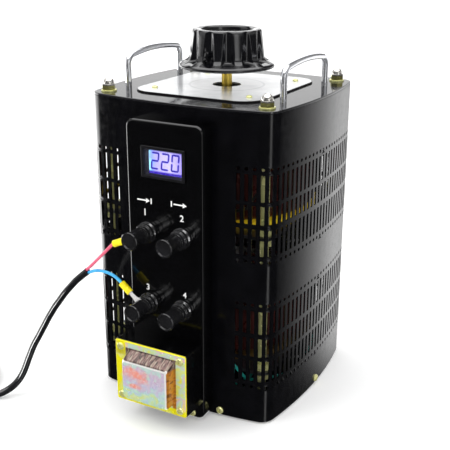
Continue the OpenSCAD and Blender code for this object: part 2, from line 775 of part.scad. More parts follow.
module knob() {
    z0 = knob_z[0];
    h = knob_z[1] - z0;
    color([0.06, 0.06, 0.06]) translate([0, 0, z0]) difference() {
        rotate_extrude() polygon([[0, 3], [skirt_r - 6, 3], [skirt_r - 4, 0], [skirt_r - 1, 0],
                                  [skirt_r, 1.5], [skirt_r - 1, 3.5], [knob_top_r + 3.5, 8],
                                  [knob_top_r + 1.5, 9], [knob_top_r, h - 1.5],
                                  [knob_top_r - 1.5, h], [0, h]]);
        for (i = [0:flutes - 1]) rotate([0, 0, i * 360 / flutes])
            translate([flute_out, 0, 5.5]) cylinder(r = flute_r, h = h);
        translate([0, 0, -1]) cylinder(r = shaft_r, h = shaft_z[1] - z0 + 1);
        translate([0, 0, h - disc_sink]) cylinder(r = disc_r + 0.1, h = 10);
        rotate([0, 0, knob_screw_turn]) translate([0, 0, knob_screw_z - z0]) rotate([0, 90, 0])
            cylinder(r = 2.5, h = 60);
    }
}

module knob_disc() {
    color([0.09, 0.09, 0.1]) translate([0, 0, knob_z[1] - disc_sink])
        cylinder(r = disc_r, h = disc_t);
}

// M5 grub screws that clamp the arms, the stop and the knob to the shaft
module grub_screws() {
    hubs = [[arm_turn[0], coil_z[0] + coil_h + track_t + arm_dz + hub_h - 5],
            [arm_turn[1], coil_z[1] + coil_h + track_t + arm_dz + hub_h - 5],
            [stop_arm_turn, stop_z + 5]];
    color("dimgray") {
        for (hub = hubs) rotate([0, 0, hub[0]]) translate([-shaft_r, 0, hub[1]])
            rotate([0, -90, 0]) cylinder(r = 2.5, h = 5);
        rotate([0, 0, knob_screw_turn]) translate([shaft_r, 0, knob_screw_z])
            rotate([0, 90, 0]) cylinder(r = 2.5, h = 12);
    }
}

// ---- Wires and lead ----

function unit(v) = v / norm(v);

// A closed round tube of radius r along the route's points; no stretch runs along away
module tube(route, r, sides = 8, away = [0, 1, 0]) {
    n = len(route);
    rings = [for (i = [0:n - 1])
        let (d = unit(route[min(i + 1, n - 1)] - route[max(i - 1, 0)]),
             u = unit(cross(d, away)), v = cross(u, d))
        for (k = [0:sides - 1]) route[i] + r * (cos(k * 360 / sides) * u + sin(k * 360 / sides) * v)];
    walls = [for (i = [0:n - 2], k = [0:sides - 1]) let (j = (k + 1) % sides)
        [i * sides + k, i * sides + j, (i + 1) * sides + j, (i + 1) * sides + k]];
    polyhedron(points = rings, faces = concat(walls,
        [[for (k = [sides - 1:-1:0]) k], [for (k = [0:sides - 1]) (n - 1) * sides + k]]));
}

wire_r = 1.5;
wire_routes = [
    [[-18, -91.4, 183], [-22, -90, 177], [-38, -88, 168], [-54, -84, 154], [-64, -78, 138],
     [-68, -70, 124], [-66, -62, 112]],
    [[18, -91.4, 183], [25, -92, 193], [44, -88, 202], [64, -80, 208], [71, -70, 222],
     [68, -63, 236], [62, -58, 246]],
    [[-18, -91.4, 113], [-20, -91, 100], [-29, -92, 72], [-34, -92, 48], [-22, -92, 34],
     [10, -90, 28], [38, -86, 26], [56, -80, 28], [65, -70, 34], [66, -58, 44]],
    [[18, -91.4, 113], [26, -91, 96], [44, -91, 72], [60, -91, 54], [70, -86, 40],
     [80, -66, 34], [92, -40, 31], [95, -12, 33], [92, 18, 38], [84, 32, 44]]];

module internal_wires() {
    color([0.05, 0.45, 0.4]) for (route = wire_routes) tube(route, wire_r, 8, [-0.4, 0.5, 1]);
}

module at_fork(i) {
    translate([-post_x, post_y, post_rows[i]]) rotate([90, 0, 0])
        rotate([0, 0, fork_turns[i]]) children();
}

// A fork terminal in its own plane, along +X away from the post
module lead_forks() {
    color("silver") for (i = [0:1]) at_fork(i) union() {
        translate([0, 0, -fork_t / 2]) linear_extrude(fork_t) difference() {
            union() {
                circle(r = 5.5);
                polygon([[2, 5], [12, 2], [18, 2], [18, -2], [12, -2], [2, -5]]);
            }
            circle(r = stud_r + 0.3);
            translate([-12, -stud_r - 0.3]) square([12, 2 * stud_r + 0.6]);
        }
        translate([17, 0, 0]) rotate([0, 90, 0]) cylinder(r = 2.1, h = core_start - 17);
    }
}

module fork_sleeves() {
    color("yellow") for (i = [0:1]) at_fork(i) translate([sleeve_starts[i], 0, 0])
        rotate([0, 90, 0]) difference() {
            cylinder(r = 3.3, h = sleeve_len);
            translate([0, 0, -1]) cylinder(r = 2.15, h = core_start - sleeve_starts[i] + 1);
            cylinder(r = core_r, h = sleeve_len + 1);
        }
}

module red_core() { color([0.85, 0.25, 0.35]) tube(red_route, core_r); }
module blue_core() { color([0.2, 0.55, 0.85]) tube(blue_route, core_r); }
module sheathed_lead() { color([0.08, 0.08, 0.08]) tube(sheath_route, sheath_r, 10); }

module at_coil(turn) {
    translate([coil_at[0], coil_at[1], 0]) rotate([0, 0, turn]) children();
}

module lead_coil() {
    color([0.08, 0.08, 0.08]) at_coil(0) rotate_extrude()
        translate([lead_coil_r[0], 0]) square([lead_coil_r[1] - lead_coil_r[0], lead_coil_h]);
}

module lead_tie() {
    span = lead_coil_r[1] - lead_coil_r[0];
    color("dimgray") at_coil(75) translate([lead_coil_r[0] - 1, -2.5, 0]) difference() {
        cube([span + 2, 5, lead_coil_h + 1]);
        translate([0.98, -1, -1]) cube([span + 0.04, 7, lead_coil_h + 1.02]);
    }
}

// The plug lies where the outer turn leaves the coil, and is drawn along +Y
module at_plug() {
    leave = sqrt(pow(lead_coil_r[1], 2) - pow(turn_r[2], 2));
    at_coil(tail_turn) translate([turn_r[2], -leave, plug_z]) rotate([0, 0, 180]) children();
}

module plug() {
    color([0.08, 0.08, 0.08]) at_plug() union() {
        rotate([-90, 0, 0]) cylinder(r1 = 4.2, r2 = 6.5, h = 22);
        translate([0, 50, 0]) rotate([90, 0, 0]) linear_extrude(30) union() {
            square([18, 21.2], center = true);
            for (sx = [-1, 1]) translate([sx * 9, 0]) circle(r = 10.6);
        }
    }
}

module plug_pins() {
    color("gold") for (s = [-1, 1]) at_plug() translate([s * pin_gap / 2, 50, 0])
        rotate([-90, 0, 0]) cylinder(r = 2.4, h = 19);
}

// Everything is drawn about the body's axis and moved to its place here
translate(body_at) base_plate();
translate(body_at) rubber_feet();
translate(body_at) tie_rods();
translate(body_at) rod_nuts();
translate(body_at) acorn_nuts();
translate(body_at) rod_washers();
translate(body_at) case_wrap();
translate(body_at) top_plate();
translate(body_at) dial_plate();
translate(body_at) dial_screws();
translate(body_at) left_handle();
translate(body_at) right_handle();
translate(body_at) small_nuts();
translate(body_at) front_panel();
translate(body_at) box_cover();
translate(body_at) pan_head_screws();
translate(body_at) meter_housing();
translate(body_at) meter_window();
translate(body_at) meter_display();
translate(body_at) post_bases();
translate(body_at) post_studs();
translate(body_at) upper_left_washer();
translate(body_at) upper_right_washer();
translate(body_at) lower_left_washer();
translate(body_at) lower_right_washer();
translate(body_at) upper_left_cap();
translate(body_at) upper_right_cap();
translate(body_at) lower_left_cap();
translate(body_at) lower_right_cap();
translate(body_at) coil_plates();
translate(body_at) insulating_rings();
translate(body_at) coil_cores();
translate(body_at) lower_winding();
translate(body_at) upper_winding();
translate(body_at) coil_tracks();
translate(body_at) shaft();
translate(body_at) shaft_bushes();
translate(body_at) top_bush();
translate(body_at) lower_brush_arm();
translate(body_at) upper_brush_arm();
translate(body_at) brush_holders();
translate(body_at) lower_brush();
translate(body_at) upper_brush();
translate(body_at) lower_brush_spring();
translate(body_at) upper_brush_spring();
translate(body_at) stop_pin();
translate(body_at) stop_arm();
translate(body_at) knob();
translate(body_at) knob_disc();
translate(body_at) grub_screws();
translate(body_at) internal_wires();
translate(body_at) lead_forks();
translate(body_at) fork_sleeves();
translate(body_at) red_core();
translate(body_at) blue_core();
translate(body_at) sheathed_lead();
translate(body_at) lead_coil();
translate(body_at) lead_tie();
translate(body_at) plug();
translate(body_at) plug_pins();
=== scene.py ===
"""Looks for the bench variable autotransformer. Lengths in the tables are millimetres in the body's frame."""

import json
import math

import bmesh
import bpy
from mathutils import Matrix, Vector
from mathutils.geometry import tessellate_polygon

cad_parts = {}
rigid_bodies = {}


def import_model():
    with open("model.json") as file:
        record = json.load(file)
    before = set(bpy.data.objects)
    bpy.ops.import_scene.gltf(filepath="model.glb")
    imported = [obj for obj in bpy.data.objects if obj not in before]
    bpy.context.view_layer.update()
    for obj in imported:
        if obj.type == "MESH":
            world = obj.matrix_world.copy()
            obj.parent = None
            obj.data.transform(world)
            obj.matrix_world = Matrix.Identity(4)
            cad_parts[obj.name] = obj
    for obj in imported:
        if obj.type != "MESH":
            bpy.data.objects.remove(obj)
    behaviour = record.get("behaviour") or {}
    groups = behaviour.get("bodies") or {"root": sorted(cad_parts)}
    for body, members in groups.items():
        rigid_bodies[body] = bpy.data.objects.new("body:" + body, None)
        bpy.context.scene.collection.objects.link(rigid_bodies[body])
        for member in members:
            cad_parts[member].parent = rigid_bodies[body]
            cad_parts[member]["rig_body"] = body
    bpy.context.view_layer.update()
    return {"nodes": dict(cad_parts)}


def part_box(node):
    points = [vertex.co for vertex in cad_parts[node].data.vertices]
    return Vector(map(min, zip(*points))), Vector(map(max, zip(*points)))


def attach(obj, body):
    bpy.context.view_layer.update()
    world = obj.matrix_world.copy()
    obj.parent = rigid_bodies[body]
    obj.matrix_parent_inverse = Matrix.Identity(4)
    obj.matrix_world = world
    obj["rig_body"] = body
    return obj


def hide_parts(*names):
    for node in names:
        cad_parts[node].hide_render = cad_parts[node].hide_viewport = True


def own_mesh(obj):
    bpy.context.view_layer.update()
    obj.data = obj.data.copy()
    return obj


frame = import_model()
nodes = frame["nodes"]
scene = bpy.context.scene
MM = 0.001
low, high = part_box("shaft")
AXIS_Y = (low.y + high.y) / 2 / MM


def mm(x, y, z):
    """A point of the body's frame, in metres in the row frame."""
    return Vector((x * MM, (y + AXIS_Y) * MM, z * MM))


# ---- Camera ----

yaw, pitch, roll = math.radians(28.68), math.radians(19.47), math.radians(-0.21)
forward = Vector((-math.sin(yaw) * math.cos(pitch), math.cos(yaw) * math.cos(pitch), -math.sin(pitch)))
right = Vector((math.cos(yaw), math.sin(yaw), 0))
down = forward.cross(right)
right, down = (
    right * math.cos(roll) + down * math.sin(roll),
    down * math.cos(roll) - right * math.sin(roll),
)
camera_data = bpy.data.cameras.new("camera")
camera_data.sensor_width = 36
camera_data.lens = 66.84
camera = bpy.data.objects.new("camera", camera_data)
camera.matrix_world = Matrix.Translation(mm(386.2, -708.6, 442.2)) @ Matrix(
    (right, -down, -forward)
).transposed().to_4x4()
scene.collection.objects.link(camera)
scene.camera = camera


# ---- Materials ----


class Nodes:
    """A material's node tree, with short ways to add and join nodes."""

    def __init__(self, name):
        self.material = bpy.data.materials.new(name)
        self.material.use_nodes = True
        self.tree = self.material.node_tree
        self.shader = self.tree.nodes["Principled BSDF"]
        self.place = self.add("TexCoord").outputs["Object"]

    def add(self, kind, **settings):
        node = self.tree.nodes.new("ShaderNode" + kind)
        for key, value in settings.items():
            setattr(node, key, value)
        return node

    def join(self, source, target):
        self.tree.links.new(source, target)

    def mapped(self, stretch):
        node = self.add("Mapping")
        node.inputs["Scale"].default_value = stretch
        self.join(self.place, node.inputs["Vector"])
        return node.outputs["Vector"]

    def noise(self, scale, detail=3, distortion=0.0, stretch=None):
        node = self.add("TexNoise")
        node.inputs["Scale"].default_value = scale
        node.inputs["Detail"].default_value = detail
        node.inputs["Distortion"].default_value = distortion
        self.join(self.mapped(stretch) if stretch else self.place, node.inputs["Vector"])
        return node.outputs["Fac"]

    def ramp(self, source, stops):
        node = self.add("ValToRGB")
        ramp = node.color_ramp
        while len(ramp.elements) < len(stops):
            ramp.elements.new(0.5)
        for element, (at, color) in zip(ramp.elements, stops, strict=True):
            element.position = at
            element.color = (*color, 1)
        self.join(source, node.inputs["Fac"])
        return node.outputs["Color"]

    def spread(self, source, low, high, start=0.35, end=0.65):
        node = self.add("MapRange")
        for key, value in (("From Min", start), ("From Max", end), ("To Min", low), ("To Max", high)):
            node.inputs[key].default_value = value
        self.join(source, node.inputs["Value"])
        return node.outputs["Result"]

    def maths(self, kind, a, b=None):
        node = self.add("Math", operation=kind)
        for socket, value in zip(node.inputs, (a, b)):
            if isinstance(value, (int, float)):
                socket.default_value = value
            elif value is not None:
                self.join(value, socket)
        return node.outputs["Value"]

    def mix(self, factor, a, b):
        node = self.add("Mix", data_type="RGBA")
        for index, value in ((0, factor), (6, a), (7, b)):
            self.put(node.inputs[index], value)
        return node.outputs[2]

    def put(self, socket, value):
        if isinstance(value, (int, float)):
            socket.default_value = value
        elif isinstance(value, tuple):
            socket.default_value = (*value, 1)
        else:
            self.join(value, socket)

    def bump(self, height, strength, distance=0.0004):
        node = self.add("Bump")
        node.inputs["Strength"].default_value = strength
        node.inputs["Distance"].default_value = distance
        self.join(height, node.inputs["Height"])
        self.join(node.outputs["Normal"], self.shader.inputs["Normal"])


def finish(name, light, dark, rough, metal=0.0, grain=60, bump=0.0, bump_grain=900, specular=0.5,
           coat=0.0, stretch=None):
    """A material whose colour and roughness vary softly, with an optional fine bump."""
    n = Nodes(name)
    soft = n.noise(grain, 4, 0.3)
    n.join(n.ramp(soft, [(0.3, dark), (0.7, light)]), n.shader.inputs["Base Color"])
    n.join(n.spread(n.noise(grain * 3, 3, 0, stretch), *rough), n.shader.inputs["Roughness"])
    n.shader.inputs["Metallic"].default_value = metal
    n.shader.inputs["Specular IOR Level"].default_value = specular
    n.shader.inputs["Coat Weight"].default_value = coat
    n.shader.inputs["Coat Roughness"].default_value = 0.05
    if bump:
        n.bump(n.noise(bump_grain, 3, 0, stretch), bump)
    return n.material


def glow(material, color, strength):
    """An even emission on a finished material."""
    shader = material.node_tree.nodes["Principled BSDF"]
    shader.inputs["Emission Color"].default_value = (*color, 1)
    shader.inputs["Emission Strength"].default_value = strength


case_black = finish("case_enamel", (0.0025, 0.0025, 0.0035), (0.001, 0.001, 0.0015), (0.1, 0.2),
                    bump=0.03, bump_grain=220, specular=0.5)
lid_black = finish("lid_enamel", (0.012, 0.012, 0.014), (0.007, 0.007, 0.008), (0.06, 0.12),
                   bump=0.03, bump_grain=150, specular=0.9)
panel_black = finish("panel_enamel", (0.0016, 0.0016, 0.002), (0.0008, 0.0008, 0.001), (0.08, 0.16),
                     bump=0.02, bump_grain=180, specular=0.5)
phenolic = finish("phenolic", (0.007, 0.007, 0.008), (0.003, 0.003, 0.003), (0.12, 0.22), bump=0.05,
                  bump_grain=500)
knob_black = finish("knob_phenolic", (0.006, 0.006, 0.0075), (0.003, 0.003, 0.004), (0.08, 0.15),
                    bump=0.03, bump_grain=300, specular=0.75)
rubber = finish("foot_rubber", (0.03, 0.03, 0.03), (0.012, 0.012, 0.012), (0.6, 0.8), bump=0.2)
sheath = finish("lead_sheath", (0.01, 0.01, 0.011), (0.004, 0.004, 0.005), (0.06, 0.11), bump=0.015,
                bump_grain=400, specular=0.8)
chrome = finish("handle_chrome", (0.86, 0.87, 0.9), (0.74, 0.75, 0.79), (0.05, 0.12), 0.82, 80)
nickel = finish("nickel", (0.86, 0.84, 0.8), (0.62, 0.6, 0.56), (0.08, 0.2), 0.8, 160)
yellow_zinc = finish("yellow_zinc", (0.86, 0.84, 0.4), (0.74, 0.74, 0.3), (0.2, 0.3), 0.55, 30, bump=0.01)
steel = finish("plate_steel", (0.2, 0.2, 0.21), (0.1, 0.1, 0.11), (0.35, 0.5), 1.0, 90, bump=0.08)
core_steel = finish("wound_strip", (0.4, 0.4, 0.42), (0.2, 0.2, 0.22), (0.35, 0.5), 1.0, 70,
                    stretch=(1, 1, 14), bump=0.2, bump_grain=300)
aluminium = finish("cast_aluminium", (0.62, 0.62, 0.64), (0.42, 0.42, 0.44), (0.4, 0.6), 1.0, 90,
                   bump=0.15, bump_grain=600)
bronze = finish("bronze", (0.55, 0.36, 0.14), (0.32, 0.2, 0.08), (0.3, 0.5), 1.0, 120, bump=0.1)
carbon = finish("carbon", (0.05, 0.05, 0.052), (0.02, 0.02, 0.02), (0.45, 0.65), 0.0, 200, bump=0.1)
sleeve_yellow = finish("sleeve_vinyl", (0.95, 0.85, 0.005), (0.8, 0.62, 0.0), (0.3, 0.42), 0, 300,
                       bump=0.06)
core_red = finish("core_red", (0.85, 0.16, 0.25), (0.68, 0.08, 0.15), (0.3, 0.45), 0, 200, bump=0.05)
core_blue = finish("core_blue", (0.08, 0.5, 0.88), (0.03, 0.33, 0.7), (0.28, 0.42), 0, 200, bump=0.05)
tinned = finish("tinned_copper", (0.9, 0.89, 0.88), (0.84, 0.82, 0.8), (0.15, 0.3), 0.2, 200)
bezel = finish("bezel_grain", (0.007, 0.007, 0.009), (0.003, 0.003, 0.004), (0.3, 0.42), 0, 120, bump=0.15)
tie_weave = finish("tie_weave", (0.16, 0.16, 0.17), (0.05, 0.05, 0.055), (0.7, 0.9), 0, 900, bump=0.6,
                   bump_grain=1800)
ink = finish("white_ink", (0.9, 0.9, 0.88), (0.75, 0.75, 0.74), (0.5, 0.65), 0, 400, bump=0.05)
# Near black with little shine for the top bush: painted shade standing for the dark shaft hole.
painted_hole_shade = finish("painted_hole_shade", (0.002, 0.002, 0.002), (0.001, 0.001, 0.001), (0.7, 0.9), 0, 400,
                   specular=0.1, bump=0.1)


# Heights in metres where a material changes
SLEEVED_ABOVE, UPPER_RING_ABOVE, DOME_ABOVE = 0.14, 0.12, 0.3055


def winding_copper():
    """Enamelled wire, dark red-brown."""
    n = Nodes("winding_enamel")
    tone = n.ramp(n.noise(35, 4, 0.6), [(0.25, (0.03, 0.004, 0.003)), (0.6, (0.075, 0.008, 0.006)),
                                        (0.85, (0.14, 0.022, 0.012))])
    n.join(tone, n.shader.inputs["Base Color"])
    n.shader.inputs["Metallic"].default_value = 0.35
    n.join(n.spread(n.noise(120), 0.25, 0.42), n.shader.inputs["Roughness"])
    n.bump(n.noise(700), 0.08)
    return n.material


def coil_wires():
    """Teal wires at the lower coil, in black sleeving where they rise to the upper one."""
    n = Nodes("coil_wires")
    parts = n.add("SeparateXYZ")
    n.join(n.place, parts.inputs["Vector"])
    teal = n.ramp(n.noise(90), [(0.3, (0.01, 0.25, 0.22)), (0.7, (0.02, 0.42, 0.36))])
    sleeve = n.ramp(n.noise(90), [(0.3, (0.004, 0.004, 0.004)), (0.7, (0.012, 0.012, 0.012))])
    upper = n.maths("GREATER_THAN", parts.outputs["Z"], SLEEVED_ABOVE)
    n.join(n.mix(upper, teal, sleeve), n.shader.inputs["Base Color"])
    n.join(n.spread(n.noise(180), 0.3, 0.45), n.shader.inputs["Roughness"])
    n.bump(n.noise(900), 0.05)
    return n.material


def ring_board():
    """Insulating rings: bright yellow board under the upper coil, with a faint glow that is painted light, and much
    darker board under the lower one.
    """
    n = Nodes("ring_board")
    parts = n.add("SeparateXYZ")
    n.join(n.place, parts.inputs["Vector"])
    bright = n.ramp(n.noise(60, 4, 0.3), [(0.3, (0.95, 0.6, 0.015)), (0.7, (1.0, 0.78, 0.03))])
    dull = n.ramp(n.noise(60, 4, 0.3), [(0.3, (0.08, 0.045, 0.01)), (0.7, (0.14, 0.08, 0.015))])
    upper = n.maths("GREATER_THAN", parts.outputs["Z"], UPPER_RING_ABOVE)
    n.join(n.mix(upper, dull, bright), n.shader.inputs["Base Color"])
    # The upper board's faint emission is painted light, brightening it where it sits in shade.
    n.join(n.mix(upper, (0.0, 0.0, 0.0), bright), n.shader.inputs["Emission Color"])
    n.shader.inputs["Emission Strength"].default_value = 0.15
    n.join(n.spread(n.noise(180), 0.35, 0.5), n.shader.inputs["Roughness"])
    n.bump(n.noise(900), 0.1)
    return n.material


def nut_plate():
    """Domed nuts: yellow hexagon below, bright dome above."""
    n = Nodes("nut_plate")
    parts = n.add("SeparateXYZ")
    n.join(n.place, parts.inputs["Vector"])
    zinc = n.ramp(n.noise(160), [(0.3, (0.62, 0.58, 0.2)), (0.7, (0.8, 0.76, 0.3))])
    bright = n.ramp(n.noise(160), [(0.3, (0.62, 0.6, 0.56)), (0.7, (0.86, 0.84, 0.8))])
    dome = n.maths("GREATER_THAN", parts.outputs["Z"], DOME_ABOVE)
    n.join(n.mix(dome, zinc, bright), n.shader.inputs["Base Color"])
    n.shader.inputs["Metallic"].default_value = 0.9
    n.join(n.spread(n.noise(120), 0.06, 0.14), n.shader.inputs["Roughness"])
    return n.material


def dial_silver():
    """Silvered plate with a softly varying tone, one faint ring, and painted shade along its edge."""
    n = Nodes("dial_silver")
    parts = n.add("SeparateXYZ")
    n.join(n.place, parts.inputs["Vector"])
    y = n.maths("SUBTRACT", parts.outputs["Y"], AXIS_Y * MM)
    squares = n.maths("ADD", n.maths("POWER", parts.outputs["X"], 2.0), n.maths("POWER", y, 2.0))
    radius = n.maths("SQRT", squares)
    ring = n.maths("LESS_THAN", n.maths("ABSOLUTE", n.maths("SUBTRACT", radius, 0.036)), 0.0012)
    tone = n.ramp(n.noise(25, 4, 0.4), [(0.3, (0.72, 0.73, 0.74)), (0.7, (0.86, 0.87, 0.88))])
    tone = n.mix(n.maths("MULTIPLY", ring, 0.35), tone, (0.45, 0.46, 0.47))
    # A near-black band along the plate's outline is painted shade at its edge.
    side_x = n.maths("MAXIMUM", n.maths("SUBTRACT", n.maths("ABSOLUTE", parts.outputs["X"]), 0.043), 0.0)
    side_y = n.maths("MAXIMUM", n.maths("SUBTRACT", n.maths("ABSOLUTE", y), 0.048), 0.0)
    squares = n.maths("ADD", n.maths("MULTIPLY", side_x, side_x), n.maths("MULTIPLY", side_y, side_y))
    rim = n.maths("GREATER_THAN", n.maths("SQRT", squares), 0.0228)
    n.join(n.mix(rim, tone, (0.012, 0.012, 0.013)), n.shader.inputs["Base Color"])
    n.shader.inputs["Metallic"].default_value = 0.4
    n.join(n.spread(n.noise(90, 3, 0), 0.14, 0.2), n.shader.inputs["Roughness"])
    n.bump(n.noise(300, 2, 0), 0.006)
    return n.material


def cover_zinc():
    """Iridescent passivated zinc: salmon spots on lilac and turquoise, with a yellow border.

    The pale rims are painted highlights and the top wall's dark streaks include painted shade; both are placed by
    position.
    """
    n = Nodes("cover_zinc")
    parts = n.add("SeparateXYZ")
    n.join(n.place, parts.inputs["Vector"])
    x, z = parts.outputs["X"], parts.outputs["Z"]
    base = n.ramp(
        n.maths("ADD", n.spread(z, 0.0, 1.0, 0.03, 0.07), n.spread(n.noise(140, 5, 0.5), -0.25, 0.25)),
        [(0.0, (0.7, 0.8, 0.3)), (0.14, (0.52, 0.8, 0.62)), (0.3, (0.5, 0.7, 0.74)), (0.5, (0.6, 0.54, 0.72)),
         (0.75, (0.64, 0.48, 0.62)), (0.92, (0.52, 0.72, 0.66))],
    )

    def salmon(cx, cz, wide, high):
        """An oval patch with a wandering edge."""
        u = n.maths("DIVIDE", n.maths("SUBTRACT", x, cx), wide)
        v = n.maths("DIVIDE", n.maths("SUBTRACT", z, cz), high)
        reach = n.maths("SQRT", n.maths("ADD", n.maths("MULTIPLY", u, u), n.maths("MULTIPLY", v, v)))
        ragged = n.maths("ADD", reach, n.spread(n.noise(110, 5, 0.6), -0.35, 0.35))
        return n.spread(ragged, 1.0, 0.0, 0.45, 1.35)

    spots = n.maths("MAXIMUM", salmon(-0.009, 0.0585, 0.013, 0.0065), salmon(-0.011, 0.0455, 0.0065, 0.003))
    face = n.mix(spots, base, (0.95, 0.34, 0.26))
    face = n.mix(n.spread(n.noise(420, 4, 0.4), 0.0, 0.3, 0.45, 0.62), face, (0.85, 0.85, 0.82))
    patches = n.ramp(
        n.noise(85, 3, 1.2),
        [(0.3, (0.92, 0.85, 0.1)), (0.44, (0.7, 0.85, 0.4)), (0.52, (0.6, 0.78, 0.68)), (0.6, (0.85, 0.55, 0.62)),
         (0.7, (0.95, 0.85, 0.2))],
    )
    # The top wall gets dark streaked colour: its grain, darkened further by painted shade.
    shaded_top_wall = n.maths("MULTIPLY", n.spread(z, 0.0, 1.0, 0.0675, 0.0695), n.spread(z, 1.0, 0.0, 0.0765, 0.0775))
    right_wall = n.spread(x, 0.0, 1.0, 0.0235, 0.0245)
    left_edge = n.maths("MAXIMUM", n.spread(x, 1.0, 0.0, -0.0275, -0.0265), n.spread(z, 1.0, 0.0, 0.0265, 0.0275))
    far_edge = n.maths("MAXIMUM", n.spread(x, 0.0, 1.0, 0.0275, 0.028), n.spread(z, 0.0, 1.0, 0.0768, 0.0775))
    streak = n.noise(110, 3, 0.5, (1, 1, 2.5))
    color = n.mix(right_wall, face, n.ramp(streak, [(0.35, (0.2, 0.07, 0.01)), (0.5, (0.6, 0.22, 0.02)),
                                                    (0.65, (0.4, 0.2, 0.03))]))
    grain = n.noise(260, 3, 0.2, (3, 0.4, 0.4))
    color = n.mix(shaded_top_wall, color, n.ramp(grain, [(0.36, (0.04, 0.03, 0.025)), (0.5, (0.18, 0.1, 0.09)),
                                                  (0.64, (0.3, 0.26, 0.2))]))
    color = n.mix(far_edge, color, patches)
    blotch = n.spread(n.noise(60, 3, 1.0), 0.6, 1.0, 0.35, 0.5)
    color = n.mix(n.maths("MULTIPLY", left_edge, blotch), color, (1.0, 0.92, 0.008))
    border = n.maths("MAXIMUM", n.spread(x, 0.0, 1.0, 0.0372, 0.038), n.spread(z, 0.0, 1.0, 0.0816, 0.0824))
    color = n.mix(border, color, (1.0, 0.9, 0.02))
    # Pale lines along the pressing's top and right rims are painted highlights.
    top_rim_highlight = n.maths("MULTIPLY", n.spread(z, 0.0, 1.0, 0.0674, 0.0684), n.spread(z, 1.0, 0.0, 0.069, 0.0698))
    side_rim_highlight = n.maths("MULTIPLY", n.spread(x, 0.0, 1.0, 0.0222, 0.023), n.spread(x, 1.0, 0.0, 0.0236, 0.0244))
    inside = n.maths("MULTIPLY", n.maths("LESS_THAN", z, 0.07), n.maths("LESS_THAN", x, 0.0245))
    nearest = n.maths("MINIMUM", n.maths("ADD", x, 0.055), z)
    inside = n.maths("MULTIPLY", inside, n.maths("GREATER_THAN", nearest, 0.0295))
    color = n.mix(n.maths("MULTIPLY", n.maths("MAXIMUM", top_rim_highlight, side_rim_highlight), inside), color, (0.95, 0.94, 0.9))
    n.join(color, n.shader.inputs["Base Color"])
    n.shader.inputs["Metallic"].default_value = 0.35
    n.join(n.spread(n.noise(160), 0.16, 0.28), n.shader.inputs["Roughness"])
    n.bump(n.noise(500), 0.03)
    return n.material


def lit_screen():
    n = Nodes("lit_screen")
    parts = n.add("SeparateXYZ")
    n.join(n.place, parts.inputs["Vector"])
    # Colour across the screen; the cyan band at its left edge is a painted glint, the rest is the backlight's uneven
    # colour.
    glow = n.ramp(
        n.maths("ADD", n.spread(parts.outputs["X"], 0.0, 1.0, -0.0155, 0.0185), n.spread(n.noise(120), -0.05, 0.05)),
        [(0.0, (0.3, 0.75, 1.0)), (0.07, (0.22, 0.34, 0.95)), (0.2, (0.38, 0.34, 0.94)), (0.6, (0.5, 0.45, 0.98)),
         (1.0, (0.34, 0.28, 0.9))],
    )
    low_strip = n.spread(parts.outputs["Z"], 1.0, 0.0, 0.2405, 0.242)
    color = n.mix(low_strip, glow, (0.02, 0.0, 0.35))
    n.join(color, n.shader.inputs["Base Color"])
    n.join(color, n.shader.inputs["Emission Color"])
    n.shader.inputs["Emission Strength"].default_value = 0.55
    n.join(n.spread(n.noise(200), 0.2, 0.3), n.shader.inputs["Roughness"])
    return n.material


def window_clear():
    n = Nodes("window_clear")
    n.join(n.ramp(n.noise(60), [(0.3, (0.2, 0.2, 0.3)), (0.7, (0.3, 0.3, 0.4))]), n.shader.inputs["Base Color"])
    n.join(n.spread(n.noise(90), 0.03, 0.08), n.shader.inputs["Roughness"])
    n.shader.inputs["Alpha"].default_value = 0.06
    return n.material


digit_blue = finish("digit_blue", (0.012, 0.0, 0.32), (0.008, 0.0, 0.24), (0.3, 0.4), 0, 200)
glow(digit_blue, (0.015, 0.0, 0.4), 0.5)
gold_zinc = finish("gold_zinc", (0.95, 0.7, 0.12), (0.75, 0.5, 0.05), (0.14, 0.22), 0.7, 60, bump=0.01)
# Post washers: nickel given a near-black colour, a painted reflection of the dark panel and parts around them.
washer_painted_dark = finish("nickel_painted_dark", (0.06, 0.06, 0.06), (0.03, 0.03, 0.03), (0.12, 0.2), 0.5, 160)

# ---- Mesh helpers ----


def add_object(name, data, material, body="frame"):
    obj = bpy.data.objects.new(name, data)
    scene.collection.objects.link(obj)
    if material is not None:
        data.materials.append(material)
    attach(obj, body)
    return obj


def mesh_object(name, points, faces, material, body="frame", merge=0.0):
    """points are in millimetres in the body's frame."""
    mesh = bpy.data.meshes.new(name)
    mesh.from_pydata([mm(*p) for p in points], [], faces)
    bm = bmesh.new()
    bm.from_mesh(mesh)
    if merge:
        bmesh.ops.remove_doubles(bm, verts=bm.verts, dist=merge * MM)
    bmesh.ops.recalc_face_normals(bm, faces=bm.faces)
    bm.to_mesh(mesh)
    bm.free()
    return add_object(name, mesh, material, body)


def smooth(obj, angle=35):
    obj.data.shade_smooth()
    obj.data.set_sharp_from_angle(angle=math.radians(angle))
    return obj


def bevel(obj, width, segments=2, angle=35):
    mod = obj.modifiers.new("bevel", "BEVEL")
    mod.width = width * MM
    mod.segments = segments
    mod.limit_method = "ANGLE"
    mod.angle_limit = math.radians(angle)
    mod.harden_normals = True
    obj.data.shade_smooth()
    return obj


